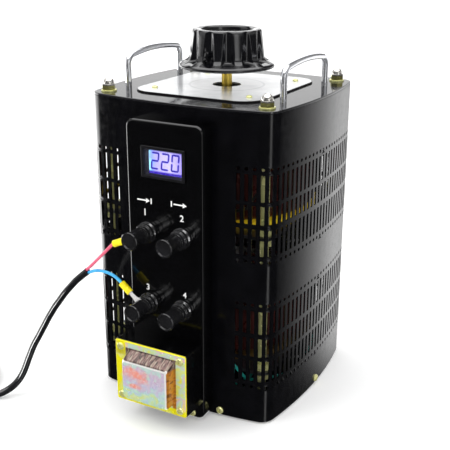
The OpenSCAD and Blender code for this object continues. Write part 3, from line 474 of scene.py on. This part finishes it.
def soften(node, material, width=0.3, segments=2, angle=35):
    """The CAD node's own shape with eased edges."""
    source = nodes[node]
    mesh = source.data.copy()
    mesh.materials.clear()
    bm = bmesh.new()
    bm.from_mesh(mesh)
    bmesh.ops.remove_doubles(bm, verts=bm.verts, dist=1e-6)
    bmesh.ops.dissolve_limit(bm, angle_limit=math.radians(0.3), verts=bm.verts, edges=bm.edges)
    bm.to_mesh(mesh)
    bm.free()
    if mesh.has_custom_normals:
        mesh.attributes.remove(mesh.attributes["custom_normal"])
    obj = add_object(node + "_eased", mesh, material, source["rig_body"])
    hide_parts(node)
    return bevel(obj, width, segments, angle)


def paint(material, *names):
    """Give CAD nodes that keep their shape a better material."""
    for name in names:
        data = nodes[name].data
        data.materials.clear()
        data.materials.append(material)


def curve_object(name, points, radius, material, body="frame", rings=6):
    data = bpy.data.curves.new(name, "CURVE")
    data.dimensions = "3D"
    data.bevel_depth = radius * MM
    data.bevel_resolution = rings
    data.use_fill_caps = True
    spline = data.splines.new("POLY")
    spline.points.add(len(points) - 1)
    for point, at in zip(spline.points, points, strict=True):
        point.co = (*mm(*at), 1)
    spline.use_smooth = True
    return add_object(name, data, material, body)


def smooth_line(points, steps=3):
    """Catmull-Rom points through the given ones."""
    out = []
    p = [Vector(q) for q in points]
    ends = [p[0] * 2 - p[1], *p, p[-1] * 2 - p[-2]]
    for i in range(1, len(ends) - 2):
        a, b, c, d = ends[i - 1 : i + 3]
        for k in range(steps):
            t = k / steps
            out.append(0.5 * (2 * b + (c - a) * t + (2 * a - 5 * b + 4 * c - d) * t * t
                              + (3 * b - a - 3 * c + d) * t**3))
    return [*out, p[-1]]


# ---- Lead ----

SHEATH_R, CORE_R = 3.5, 1.5
RED = [(-42.9, -127.4, 171.9), (-49, -127.4, 169.2), (-54, -127.6, 164.2), (-60, -128, 158),
       (-66.5, -128.7, 151.3), (-73, -129.4, 144.5), (-79.3, -130, 138.5)]
BLUE = [(-39.2, -127.4, 130.2), (-44.4, -127.4, 134.4), (-49, -127.6, 137.3), (-55.5, -128, 139.3),
        (-63, -128.6, 140), (-70.5, -129.3, 138.9), (-77.1, -130, 136)]
SHEATH = [(-78.2, -130, 137.3), (-85, -130.4, 131.4), (-91.8, -131, 125.2), (-97.5, -131.7, 119),
          (-103, -132.5, 112.7), (-107.5, -133.7, 106.6), (-112, -135, 100), (-116, -136.5, 94),
          (-119.5, -138, 87.8), (-123, -139.5, 81.5), (-126, -141.2, 75), (-129, -143, 68.7),
          (-132, -145, 62), (-134.5, -147, 56.5), (-136.7, -149, 51), (-138.7, -151, 44.5),
          (-140.5, -153.2, 38), (-142, -155.5, 31.5), (-143.7, -158.2, 25), (-146, -161.3, 19),
          (-149.5, -165.2, 13.2), (-154, -169.8, 8.6), (-159.7, -175.4, 5.2), (-166.3, -181.7, 3.7),
          (-173, -188, 3.6), (-180, -194.6, 3.6), (-187, -201.2, 3.6)]
COIL_AT = (-225.9, -178.8)
COIL_START, TAIL_TURN = -47.03, 195.0
# Turn number, radius and height where the lead's place in the coil changes
COIL_STEPS = [(0.0, 43.1, 3.6), (1.0, 43.1, 3.6), (1.14, 36, 3.6), (2.0, 36, 3.6), (2.14, 28.9, 3.6),
              (2.82, 28.9, 3.6), (2.98, 28.9, 10.6), (3.64, 28.9, 10.6), (3.8, 36, 10.6),
              (4.46, 36, 10.6), (4.62, 43.1, 10.6), (6.0, 43.1, 10.6)]


def coil_points(per_turn=40):
    last = 5 + (COIL_START - TAIL_TURN + 360) / 360
    count = round(last * per_turn)
    out = []
    for i in range(count + 1):
        turn = last * i / count
        k = max(j for j in range(len(COIL_STEPS) - 1) if COIL_STEPS[j][0] <= turn)
        a, b = COIL_STEPS[k], COIL_STEPS[k + 1]
        t = (turn - a[0]) / (b[0] - a[0])
        t = t * t * (3 - 2 * t)
        angle = math.radians(COIL_START - 360 * turn)
        r = a[1] + (b[1] - a[1]) * t
        out.append((COIL_AT[0] + r * math.cos(angle), COIL_AT[1] + r * math.sin(angle), a[2] + (b[2] - a[2]) * t))
    return out


turns = coil_points()
tail = math.radians(TAIL_TURN)
leave = math.sqrt(46.7**2 - 43.1**2)
last_point = (turns[-1][0] + math.sin(tail) * (leave + 4), turns[-1][1] - math.cos(tail) * (leave + 4), 10.6)
lead_line = [tuple(p) for p in smooth_line(SHEATH)][:-1] + [SHEATH[-1]] + turns + [last_point]
lead = curve_object("sheathed_lead_line", lead_line, SHEATH_R, sheath)
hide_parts("sheathed_lead", "lead_coil")
red = curve_object("red_core_line", smooth_line(RED), CORE_R, core_red)
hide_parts("red_core")
blue = curve_object("blue_core_line", smooth_line(BLUE), CORE_R, core_blue)
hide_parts("blue_core")
plug = soften("plug", sheath, 2.0, 4)

# ---- Case ----

HALF_W, HALF_D, BULGE, CORNER, TOP, SHEET = 103, 100, 7, 14, 300, 1.2
LID_T, SHAFT_HOLE = 2.5, 13.8
PITCH, SLOT_W, DOT = 7.5, 3.7, 3.4
# Half the width of the mesh strip that holds one column of openings
STRIP = 4.2
ROD = (HALF_W - BULGE - CORNER, HALF_D - BULGE - CORNER)
# Lower edge and height of each row of openings
ROWS = [(36.9, 3.4), (44, 22.6), (69.8, 19.5), (93.5, 23.1), (120.6, 3.4), (162.7, 3.4), (169.7, 25.2),
        (199.2, 17.6), (220.1, 24.5), (247.7, 3.4)]


def bulge_radius(half_span):
    return (half_span**2 + BULGE**2) / (2 * BULGE) + CORNER


R_SIDE, R_END = bulge_radius(ROD[1]), bulge_radius(ROD[0])
A_SIDE = math.asin(ROD[1] / (R_SIDE - CORNER))
A_END = math.asin(ROD[0] / (R_END - CORNER))
L_SIDE, L_CORNER, L_END = R_SIDE * A_SIDE, CORNER * (math.pi / 2 - A_SIDE - A_END), R_END * A_END
QUARTER = L_SIDE + L_CORNER + L_END


def on_sheet(s, inset=0.0):
    """The place at distance s round the case from the middle of its +X side."""
    s %= 4 * QUARTER
    k = int(s // QUARTER)
    d = s - k * QUARTER if k in (0, 2) else (k + 1) * QUARTER - s
    if d < L_SIDE:
        a = d / R_SIDE
        centre, r = (HALF_W - R_SIDE, 0), R_SIDE
    elif d < L_SIDE + L_CORNER:
        a = A_SIDE + (d - L_SIDE) / CORNER
        centre, r = ROD, CORNER
    else:
        a = math.pi / 2 - A_END + (d - L_SIDE - L_CORNER) / R_END
        centre, r = (0, HALF_D - R_END), R_END
    x, y = centre[0] + (r - inset) * math.cos(a), centre[1] + (r - inset) * math.sin(a)
    return (x if k in (0, 3) else -x, y if k in (0, 1) else -y)


def rounded(w, h, r, steps=3):
    """Points of a rounded rectangle about the origin."""
    out = []
    for k, (sx, sy) in enumerate(((1, 1), (-1, 1), (-1, -1), (1, -1))):
        for i in range(steps + 1):
            a = math.pi / 2 * (k + i / steps)
            out.append((sx * (w / 2 - r) + r * math.cos(a), sy * (h / 2 - r) + r * math.sin(a)))
    return out


def case_wrap():
    columns = sorted(
        s % (4 * QUARTER)
        for i in range(-16, 17)
        for s in (i * PITCH, 2 * QUARTER - i * PITCH)
    )
    points, faces = [], []

    def put(s, z):
        points.append((*on_sheet(s), z))
        return len(points) - 1

    def grid(ss, zs):
        ids = [[put(s, z) for z in zs] for s in ss]
        for i in range(len(ss) - 1):
            for j in range(len(zs) - 1):
                faces.append((ids[i][j], ids[i + 1][j], ids[i + 1][j + 1], ids[i][j + 1]))

    edges = [(z - 1.6, z + h + 1.6) for z, h in ROWS]
    cells = []
    for i, (z, h) in enumerate(ROWS):
        lo, hi = edges[i]
        if i and ROWS[i - 1][0] + ROWS[i - 1][1] > z - 8:
            lo = (ROWS[i - 1][0] + ROWS[i - 1][1] + z) / 2
        if i + 1 < len(ROWS) and z + h > ROWS[i + 1][0] - 8:
            hi = (z + h + ROWS[i + 1][0]) / 2
        cells.append((lo, hi, z, h))
    plain, at = [], 2.0
    for lo, hi, _, _ in cells:
        if lo > at + 0.01:
            plain.append((at, lo))
        at = hi
    plain.append((at, TOP - LID_T))
    for k, s in enumerate(columns):
        before = s - (columns[k - 1] if k else columns[-1] - 4 * QUARTER)
        after = (columns[k + 1] if k + 1 < len(columns) else columns[0] + 4 * QUARTER) - s
        reach = [-min(before / 2, STRIP), -SLOT_W / 2, 0, SLOT_W / 2, min(after / 2, STRIP)]
        for lo, hi in plain:
            steps = max(1, round((hi - lo) / 12))
            grid([s + r for r in reach], [lo + (hi - lo) * i / steps for i in range(steps + 1)])
        for lo, hi, z, h in cells:
            w, rc = (SLOT_W, 0.8) if h > 5 else (DOT, DOT / 2)
            hole = [(x, y + z + h / 2) for x, y in rounded(w, h, rc, 3)]
            outer = [(r, lo) for r in reach] + [(r, hi) for r in reversed(reach)]
            flat = [[(*p, 0) for p in outer], [(*p, 0) for p in hole]]
            ids = [put(s + x, y) for x, y in outer + hole]
            for tri in tessellate_polygon(flat):
                faces.append(tuple(ids[i] for i in tri))
    gaps = [(a, b) for a, b in zip(columns, columns[1:] + [columns[0] + 4 * QUARTER]) if b - a > 9]
    z_lines = [2.0]
    for lo, hi in plain:
        steps = max(1, round((hi - lo) / 12))
        z_lines += [lo + (hi - lo) * i / steps for i in range(steps + 1)]
    z_lines = sorted(set(round(z, 4) for z in z_lines + [c for cell in cells for c in cell[:2]]))
    for a, b in gaps:
        count = max(2, round((b - a - 8.4) / 4))
        ss = [a + 4.2 + (b - a - 8.4) * i / count for i in range(count + 1)]
        for i in range(count):
            x, y = on_sheet((ss[i] + ss[i + 1]) / 2)
            for lo, hi in zip(z_lines, z_lines[1:]):
                if not (y < 0 and abs(x) < 30 and 30 < (lo + hi) / 2 < 270):
                    grid(ss[i : i + 2], [lo, hi])
    wrap = mesh_object("case_wrap_sheet", points, faces, case_black, merge=0.002)
    smooth(wrap, 40)
    mod = wrap.modifiers.new("thickness", "SOLIDIFY")
    mod.thickness = SHEET * MM
    mod.offset = -1
    bevel(wrap, 0.22, 1, 60)
    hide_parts("case_wrap")


def plate(name, outer, holes, z0, z1, material, width, node):
    """A flat plate with holes, from closed outlines in millimetres."""
    loops = [outer, *holes]
    points, faces = [], []
    flat = [[(*p, 0) for p in loop] for loop in loops]
    for z in (z0, z1):
        points += [(x, y, z) for loop in loops for x, y in loop]
    total = len(points) // 2
    for tri in tessellate_polygon(flat):
        faces.append(tri)
        faces.append(tuple(total + i for i in reversed(tri)))
    start = 0
    for loop in loops:
        n = len(loop)
        for i in range(n):
            j = (i + 1) % n
            faces.append((start + i, start + j, total + start + j, total + start + i))
        start += n
    obj = mesh_object(name, points, faces, material)
    bm = bmesh.new()
    bm.from_mesh(obj.data)
    bmesh.ops.dissolve_limit(bm, angle_limit=math.radians(0.3), verts=bm.verts, edges=bm.edges)
    bm.to_mesh(obj.data)
    bm.free()
    bevel(obj, width, 3)
    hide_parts(node)


def circle(x, y, r, count=48):
    angles = [2 * math.pi * i / count for i in range(count)]
    return [(x + r * math.cos(a), y + r * math.sin(a)) for a in angles]


case_wrap()
lid_outline = [on_sheet(4 * QUARTER * i / 360) for i in range(360)]
plate("lid", lid_outline, [circle(0, 0, SHAFT_HOLE)], TOP - LID_T, TOP, lid_black, 0.7, "top_plate")
plate("dial", rounded(2 * 67, 2 * 72, 24, 16), [circle(0, 0, SHAFT_HOLE)], TOP, TOP + 1.5, dial_silver(), 0.35,
      "dial_plate")


def handle(side):
    """The bent rod, along the CAD rod's own line."""
    x, half, height, turn, arch = side * 82, 47, 29, 9, 3
    bar = half - turn
    arch_r = (bar**2 + arch**2) / (2 * arch)
    arch_a = math.asin(bar / arch_r)
    bend_z = TOP + height - turn
    r = (bar + turn * math.sin(arch_a)) / math.sin(arch_a)
    z = bend_z + (turn - r) * math.cos(arch_a)
    line = [(x, half, TOP - 11 + i * (bend_z - TOP + 11) / 4) for i in range(4)]
    line += [(x, bar + turn * math.cos(a), bend_z + turn * math.sin(a))
             for a in ((math.pi / 2 - arch_a) * i / 12 for i in range(13))]
    line += [(x, r * math.sin(a), z + r * math.cos(a)) for a in (arch_a * (1 - i / 12) for i in range(1, 12))]
    line += [(x, 0, z + r)]
    line += [(x, -y, up) for _, y, up in reversed(line[:-1])]
    name = "left" if side < 0 else "right"
    rod = curve_object(name + "_handle_rod", line, 3, chrome, rings=8)
    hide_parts(name + "_handle")


handle(-1)
handle(1)

# ---- Front panel ----

PANEL_Y, COVER_Y = -115, -145


def upright_loop(x0, x1, z0, z1, r, y, steps=6):
    out = []
    for k, (cx, cz) in enumerate(((x1 - r, z1 - r), (x0 + r, z1 - r), (x0 + r, z0 + r), (x1 - r, z0 + r))):
        for i in range(steps + 1):
            a = math.pi / 2 * (k + i / steps)
            out.append((cx + r * math.cos(a), y, cz + r * math.sin(a)))
    return out


def loop_faces(loops, count):
    """The faces between neighbouring closed loops of count points each."""
    return [
        (k * count + i, k * count + (i + 1) % count, (k + 1) * count + (i + 1) % count, (k + 1) * count + i)
        for k in range(loops - 1)
        for i in range(count)
    ]


def loft(name, loops, material, close=(False, True)):
    n = len(loops[0])
    points = [p for loop in loops for p in loop]
    faces = loop_faces(len(loops), n)
    if close[0]:
        faces.append(tuple(reversed(range(n))))
    if close[1]:
        faces.append(tuple(range(len(points) - n, len(points))))
    return mesh_object(name, points, faces, material)


def front_panel():
    """The pressed tray with its rounded front edge, open at the meter, and the wiring box on it."""
    rim = 2.4
    loops = [upright_loop(-39.5, 39.5, 2, 286, 8, y, 10) for y in (-96, -104, PANEL_Y + rim)]
    for k in range(1, 7):
        a = math.pi / 2 * k / 6
        inset = rim * (1 - math.cos(a))
        loops.append(upright_loop(-39.5 + inset, 39.5 - inset, 2 + inset, 286 - inset, 8 - inset,
                                  PANEL_Y + rim - rim * math.sin(a), 10))
    count = len(loops[0])
    points = [p for loop in loops for p in loop]
    faces = loop_faces(len(loops), count)
    window = upright_loop(-20.4, 20.4, 236.3, 261.7, 0.5, PANEL_Y, 1)
    start = len(points) - count
    ids = list(range(start, start + count)) + list(range(len(points), len(points) + len(window)))
    points += window
    for tri in tessellate_polygon([[Vector(p) for p in loops[-1]], [Vector(p) for p in window]]):
        faces.append(tuple(ids[i] for i in tri))
    tray = smooth(mesh_object("panel_tray", points, faces, panel_black), 50)
    depths = (PANEL_Y + 0.5, -125, -136, -143.4)
    box = loft("wiring_box", [upright_loop(-38.5, 38.5, 20.5, 83, 1.5, y) for y in depths], panel_black)
    bevel(box, 0.5, 3)
    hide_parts("front_panel")
    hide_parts("front_panel")


front_panel()


def box_cover():
    """The flat flange and the raised pressing, whose top wall slopes."""
    loops = [upright_loop(-38, 38, 20.5, 83, 1.5, -143.5), upright_loop(-38, 38, 20.5, 83, 1.5, -144.7),
             upright_loop(-37.7, 37.7, 20.8, 82.7, 1.3, -145)]
    x0, x1, z0, z1 = -25, 26, 29, 75
    for grow, top, out, r in ((1.6, 1.6, 0, 6.5), (0.6, 0.6, 0.3, 5.6), (0, 0, 1.2, 5), (-0.5, -3.2, 8.2, 4.6),
                              (-0.8, -4.2, 9.6, 4.4), (-1.4, -5.4, 10.6, 4), (-2.2, -6.6, 11, 3.4)):
        loops.append(upright_loop(x0 - grow, x1 + grow, z0 - grow, z1 + top, r, COVER_Y - out))
    cover = loft("box_cover_pressing", loops, cover_zinc(), close=(True, True))
    smooth(cover, 28)
    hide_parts("box_cover")


box_cover()
soften("meter_housing", bezel, 0.35, 2)
paint(lit_screen(), "meter_display")
paint(window_clear(), "meter_window")

SEGMENTS = {"2": "abged", "0": "abcdef"}


def digit(char, x, z, w, h):
    """A seven-segment digit of mitred bars, slightly slanted."""
    t, half = 1.3, h / 2
    across = [(t, 0), (w - t, 0), (w - 0.35 * t, 0.65 * t), (w - t, 1.3 * t), (t, 1.3 * t), (0.35 * t, 0.65 * t)]
    upright = [(0, t), (0.65 * t, 0.35 * t), (1.3 * t, t), (1.3 * t, half - t), (0.65 * t, half - 0.35 * t),
               (0, half - t)]
    right_x, top_z = w - 1.3 * t, h - 1.3 * t
    bars = {
        "a": (across, 0, top_z), "g": (across, 0, half - 0.65 * t), "d": (across, 0, 0), "f": (upright, 0, half),
        "b": (upright, right_x, half), "e": (upright, 0, 0), "c": (upright, right_x, 0),
    }
    points, faces = [], []
    for key in SEGMENTS[char]:
        outline, dx, dz = bars[key]
        start, count = len(points), len(outline)
        for y in (PANEL_Y + 0.5, PANEL_Y + 0.42):
            points += [(x + px + dx + 0.09 * (pz + dz), y, z + pz + dz) for px, pz in outline]
        faces.append(tuple(start + i for i in range(count)))
        faces.append(tuple(start + count + i for i in reversed(range(count))))
        faces += [(start + i, start + (i + 1) % count, start + count + (i + 1) % count, start + count + i)
                  for i in range(count)]
    return points, faces


def digits():
    points, faces = [], []
    for i, char in enumerate("220"):
        p, f = digit(char, -14 + 10.4 * i, 242.6, 8.4, 16)
        faces += [tuple(len(points) + k for k in face) for face in f]
        points += p
    mesh_object("meter_digits", points, faces, digit_blue)


digits()


def numeral(char, x, z, size):
    data = bpy.data.curves.new("mark_" + char, "FONT")
    data.body = char
    data.size = size * 1.35 * MM
    data.extrude = 0.04 * MM
    data.offset = 0.12 * MM
    data.align_x = data.align_y = "CENTER"
    obj = add_object("mark_" + char, data, ink)
    obj.matrix_world = Matrix.Translation(mm(x, PANEL_Y - 0.05, z)) @ Matrix.Rotation(math.pi / 2, 4, "X")


def arrow_mark(name, x, z, inward):
    """A flow arrow beside a bar: towards it for the supply side, away from it for the load side."""
    shift = 0 if inward else 2.6
    shapes = [[(shift - 8, -0.6), (shift + 1.5, -0.6), (shift + 1.5, 0.6), (shift - 8, 0.6)],
              [(shift + 1.5, -2.3), (shift + 5.6, 0), (shift + 1.5, 2.3)]]
    bar = 6.4 if inward else -8.2
    shapes.append([(bar, -2.6), (bar + 1.2, -2.6), (bar + 1.2, 2.6), (bar, 2.6)])
    points, faces = [], []
    for shape in shapes:
        start, count = len(points), len(shape)
        for y in (PANEL_Y - 0.08, PANEL_Y + 0.02):
            points += [(x + px, y, z + pz) for px, pz in shape]
        faces.append(tuple(start + i for i in range(count)))
        faces += [(start + i, start + (i + 1) % count, start + count + (i + 1) % count, start + count + i)
                  for i in range(count)]
    mesh_object(name, points, faces, ink)


for char, x, z, size in (("1", -21, 201, 6.6), ("2", 18, 201, 6.2), ("3", -20, 127.5, 6.2), ("4", 20, 127.5, 5.8)):
    numeral(char, x, z, size)
arrow_mark("supply_arrow", -21, 212.5, True)
arrow_mark("load_arrow", 15, 213.5, False)

# ---- Knob ----


def knob():
    """Fluted body on a stepped skirt, with a sunk top."""
    z0 = 318.5
    count = 12 * 28
    profile = [(9, 3.2), (38, 3.2), (41, 1.2), (42.5, 0.15), (44.6, 0), (45.6, 0.5), (46, 1.5), (45.8, 2.6),
               (45.2, 3.4), (43, 4.5), (40.5, 5.8), (38.6, 6.9), (37.2, 8.2), (36.5, 9.8)]
    profile += [(36.2 - 2.6 * i / 8, 10.5 + 22 * i / 8) for i in range(9)]
    profile += [(33.3, 34.2), (32.9, 35.1), (32.2, 35.7), (31.2, 36), (29, 36), (26.6, 35.9), (25.3, 35.6),
                (24.5, 34.9), (24.2, 33.8), (24.1, 31), (10, 31), (0.02, 31)]
    points, faces = [], []
    for r, dz in profile:
        for i in range(count):
            a = 2 * math.pi * i / count
            d = (a + math.pi / 12) % (math.pi / 6) - math.pi / 12
            q = 38.0
            inside = 36 - (q * math.sin(d)) ** 2
            rr = r
            if inside > 0 and r > 27 and dz > 4.2:
                cut = q * math.cos(d) - math.sqrt(inside)
                blend = min(1.0, max(0.0, (dz - 4.2) / 3.0))
                soft = 0.5 * (r + cut - math.sqrt((r - cut) ** 2 + 0.12))
                rr = r + (soft - r) * blend * blend if soft < r else r
            points.append((rr * math.cos(a), rr * math.sin(a), z0 + dz))
    n = count
    for k in range(len(profile) - 1):
        for i in range(n):
            j = (i + 1) % n
            faces.append((k * n + i, k * n + j, (k + 1) * n + j, (k + 1) * n + i))
    body = mesh_object("knob_moulding", points, faces, knob_black, "rotor", merge=0.05)
    smooth(body, 50)
    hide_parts("knob")


knob()


def ring_piece(name, at, direction, inner, outer, depth, material, body):
    """A small rim: a lathed ring about a direction."""
    d = Vector(direction).normalized()
    u = d.orthogonal().normalized()
    v = d.cross(u)
    section = [(inner, 0), (outer, 0), (outer - 0.2, depth * 0.8), ((inner + outer) / 2, depth),
               (inner + 0.15, depth * 0.8), (inner, -depth)]
    points, faces, n = [], [], 32
    for r, h in section:
        for i in range(n):
            a = 2 * math.pi * i / n
            points.append(tuple(Vector(at) + u * r * math.cos(a) + v * r * math.sin(a) + d * h))
    m = len(section)
    for k in range(m):
        for i in range(n):
            j = (i + 1) % n
            faces.append((k * n + i, k * n + j, (k + 1) % m * n + j, (k + 1) % m * n + i))
    return smooth(mesh_object(name, points, faces, material, body), 60)


boss_turn = math.radians(265)
outward = (math.cos(boss_turn), math.sin(boss_turn), 0.0)
boss_at = (33.2 * outward[0], 33.2 * outward[1], 333)
ring_piece("set_screw_boss", boss_at, outward, 2.4, 3.4, 2.6, knob_black, "rotor")
ring_piece("vent_hole_rim", (boss_at[0] * 1.03, boss_at[1] * 1.03, 326.6), outward, 1.2, 2.1, 2.2, knob_black,
           "rotor")

# ---- Coils ----


def winding(name, node, z0):
    """Close-wound wire: the section's outline with a ridge for each turn."""
    r0, r1, h, turns_round, per = 38.4, 87.6, 50, 210, 6
    section = rounded(r1 - r0, h - 0.8, 6, 5)
    count = turns_round * per
    points, faces = [], []
    m = len(section)
    for i in range(count):
        a = 2 * math.pi * i / count
        ridge = 0.45 * abs(math.cos(math.pi * i / per)) - 0.45
        for x, z in section:
            reach = math.hypot(x, z)
            r = (r0 + r1) / 2 + x + ridge * x / reach
            points.append((r * math.cos(a), r * math.sin(a), z0 + h / 2 + z + ridge * z / reach))
    for i in range(count):
        for k in range(m):
            j, above = (i + 1) % count, (k + 1) % m
            faces.append((i * m + k, i * m + above, j * m + above, j * m + k))
    obj = mesh_object(name, points, faces, copper)
    smooth(obj, 80)
    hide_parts(node)


copper = winding_copper()
winding("lower_winding_wire", "lower_winding", 56)
winding("upper_winding_wire", "upper_winding", 190)


def spring(name, node, turn, z0):
    """A wire helix over the brush, built at one fixed length."""
    a = math.radians(turn)
    x, y = 65 * math.cos(a), 65 * math.sin(a)
    coil_turns, per_turn, wire_r, coil_r = 4, 16, 0.3, 1.85
    steps = coil_turns * per_turn
    angles = [2 * math.pi * i / per_turn for i in range(steps + 1)]
    line = [(x + coil_r * math.cos(b), y + coil_r * math.sin(b), z0 + 0.35 + 5.2 * i / steps)
            for i, b in enumerate(angles)]
    curve = curve_object(name + "_path", line, wire_r, steel, "rotor", rings=2)
    bpy.context.view_layer.update()
    mesh = bpy.data.meshes.new_from_object(curve.evaluated_get(bpy.context.evaluated_depsgraph_get()))
    bpy.data.objects.remove(curve)
    piece = add_object(name, mesh, None, "rotor")
    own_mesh(piece)
    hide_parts(node)


spring("lower_spring_wire", "lower_brush_spring", -130, 120.75)
spring("upper_spring_wire", "upper_brush_spring", 50, 254.75)

# ---- CAD nodes that keep their shape ----

CORNERS = ("upper_left", "upper_right", "lower_left", "lower_right")

for node, material, width in (
    ("acorn_nuts", nut_plate(), 0.35), ("rod_washers", yellow_zinc, 0.2), ("dial_screws", yellow_zinc, 0.15),
    ("pan_head_screws", yellow_zinc, 0.2), ("post_bases", phenolic, 0.3), ("lower_brush_arm", aluminium, 0.4),
    ("upper_brush_arm", aluminium, 0.4), ("brush_holders", bronze, 0.2), ("rod_nuts", yellow_zinc, 0.25),
    ("base_plate", case_black, 0.3), ("rubber_feet", rubber, 0.5), ("coil_plates", steel, 0.3),
    ("knob_disc", knob_black, 0.3),
):
    soften(node, material, width)
# The washers below take the nickel painted dark as reflection.
for corner in CORNERS:
    soften(corner + "_cap", phenolic, 0.25)
    soften(corner + "_washer", washer_painted_dark, 0.15)
paint(yellow_zinc, "tie_rods", "small_nuts", "post_studs")
paint(gold_zinc, "shaft")
paint(steel, "grub_screws", "stop_pin")
paint(ring_board(), "insulating_rings")
paint(core_steel, "coil_cores")
paint(nickel, "coil_tracks", "plug_pins")
paint(sleeve_yellow, "fork_sleeves")
paint(tinned, "lead_forks")
paint(tie_weave, "lead_tie")
paint(bronze, "shaft_bushes")
# The top bush takes the painted hole shade.
paint(painted_hole_shade, "top_bush")
paint(aluminium, "stop_arm")
paint(carbon, "lower_brush", "upper_brush")
paint(coil_wires(), "internal_wires")

# ---- Floor and light ----

floor_mesh = bpy.data.meshes.new("floor")
floor_mesh.from_pydata([(-30, -30, 0), (30, -30, 0), (30, 30, 0), (-30, 30, 0)], [], [(0, 1, 2, 3)])
floor = bpy.data.objects.new("floor", floor_mesh)
scene.collection.objects.link(floor)
floor_mesh.materials.append(finish("floor_white", (0.93, 0.93, 0.93), (0.92, 0.92, 0.92), (0.6, 0.7), 0, 3))
glow(floor_mesh.materials[0], (1, 1, 1), 0.14)


def studio_world():
    """A white surround for the camera and soft light, with dark flags and softboxes in reflections."""
    world = bpy.data.worlds.new("studio")
    world.use_nodes = True
    tree = world.node_tree
    out = tree.nodes["World Output"]
    white = tree.nodes["Background"]

    def add(kind, **settings):
        node = tree.nodes.new("ShaderNode" + kind)
        for key, value in settings.items():
            setattr(node, key, value)
        return node

    def maths(kind, a, b):
        node = add("Math", operation=kind)
        for socket, value in zip(node.inputs, (a, b)):
            if isinstance(value, (int, float)):
                socket.default_value = value
            else:
                tree.links.new(value, socket)
        return node.outputs["Value"]

    def ease(source, start, end):
        node = add("MapRange", interpolation_type="SMOOTHSTEP")
        node.inputs["From Min"].default_value = start
        node.inputs["From Max"].default_value = end
        tree.links.new(source, node.inputs["Value"])
        return node.outputs["Result"]

    def window(source, start, end, soft):
        up = ease(source, start - soft, start + soft)
        fall = ease(source, end + soft, end - soft)
        return maths("MULTIPLY", up, fall)

    parts = add("SeparateXYZ")
    tree.links.new(add("TexCoord").outputs["Generated"], parts.inputs["Vector"])
    x, y, z = (parts.outputs[k] for k in "XYZ")
    turn = maths("MULTIPLY", maths("ARCTAN2", y, x), 180 / math.pi)
    total = 0.04
    # turn range, its softness, height range, its softness, strength
    for t0, t1, ts, z0, z1, zs, power in (
        (62, 92, 20, -0.47, 0.1, 0.04, 2.2),
        (98, 160, 6, -0.9, 0.13, 0.02, 2.6),
        (98, 160, 6, 0.14, 0.26, 0.02, 1.3),
        (98, 160, 6, 0.28, 0.5, 0.04, 3.0),
        (-38, -24, 4, -0.6, 0.4, 0.1, 1.8),
        (-172, -128, 8, 0.05, 0.75, 0.1, 1.0),
        (-60, 60, 30, 0.15, 0.5, 0.1, 0.6),
    ):
        spot = maths("MULTIPLY", window(turn, t0, t1, ts), window(z, z0, z1, zs))
        total = maths("ADD", total, maths("MULTIPLY", spot, power))
    # softbox on the left, then the one overhead
    left_box = maths("MULTIPLY", ease(x, -0.82, -0.93), window(z, -0.45, 0.02, 0.06))
    total = maths("ADD", total, maths("MULTIPLY", left_box, 5.0))
    total = maths("ADD", total, maths("MULTIPLY", ease(z, 0.62, 0.76), 3.5))
    boxes = add("Background")
    tree.links.new(total, boxes.inputs["Strength"])
    choose = add("MixShader")
    tree.links.new(add("LightPath").outputs["Is Glossy Ray"], choose.inputs[0])
    tree.links.new(white.outputs[0], choose.inputs[1])
    tree.links.new(boxes.outputs[0], choose.inputs[2])
    tree.links.new(choose.outputs[0], out.inputs["Surface"])
    white.inputs["Color"].default_value = (1, 1, 1, 1)
    white.inputs["Strength"].default_value = 1.25
    scene.world = world


studio_world()
floor.visible_glossy = False
scene.view_settings.view_transform = "Standard"


def area_light(name, place, target, width, height, power, only=None):
    data = bpy.data.lights.new(name, "AREA")
    data.shape = "RECTANGLE"
    data.size, data.size_y = width, height
    data.energy = power
    obj = bpy.data.objects.new(name, data)
    obj.location = place
    obj.rotation_euler = (Vector(target) - Vector(place)).to_track_quat("-Z", "Y").to_euler()
    obj.visible_camera = False
    obj.visible_glossy = bool(only)
    scene.collection.objects.link(obj)
    if only:
        lit = bpy.data.collections.new(name + "_lit")
        for piece in only:
            lit.objects.link(piece)
        obj.light_linking.receiver_collection = lit


area_light("key", (-0.9, -1.2, 1.6), (0, 0, 0.15), 0.9, 0.9, 10)
area_light("lead_strip", (-0.24, -0.48, 0.055), (-0.115, -0.137, 0.08), 0.13, 0.1, 0.9, [lead])
posts = [bpy.data.objects[corner + kind] for corner in CORNERS for kind in ("_cap_eased", "_washer_eased")]
posts.append(bpy.data.objects["post_bases_eased"])
area_light("posts_above", (0.1, -1.1, 1.0), (0, -0.13, 0.15), 0.7, 0.5, 13, posts)
area_light("posts_right", (0.7, -1.0, 0.05), (0, -0.13, 0.15), 0.3, 0.6, 8, posts)
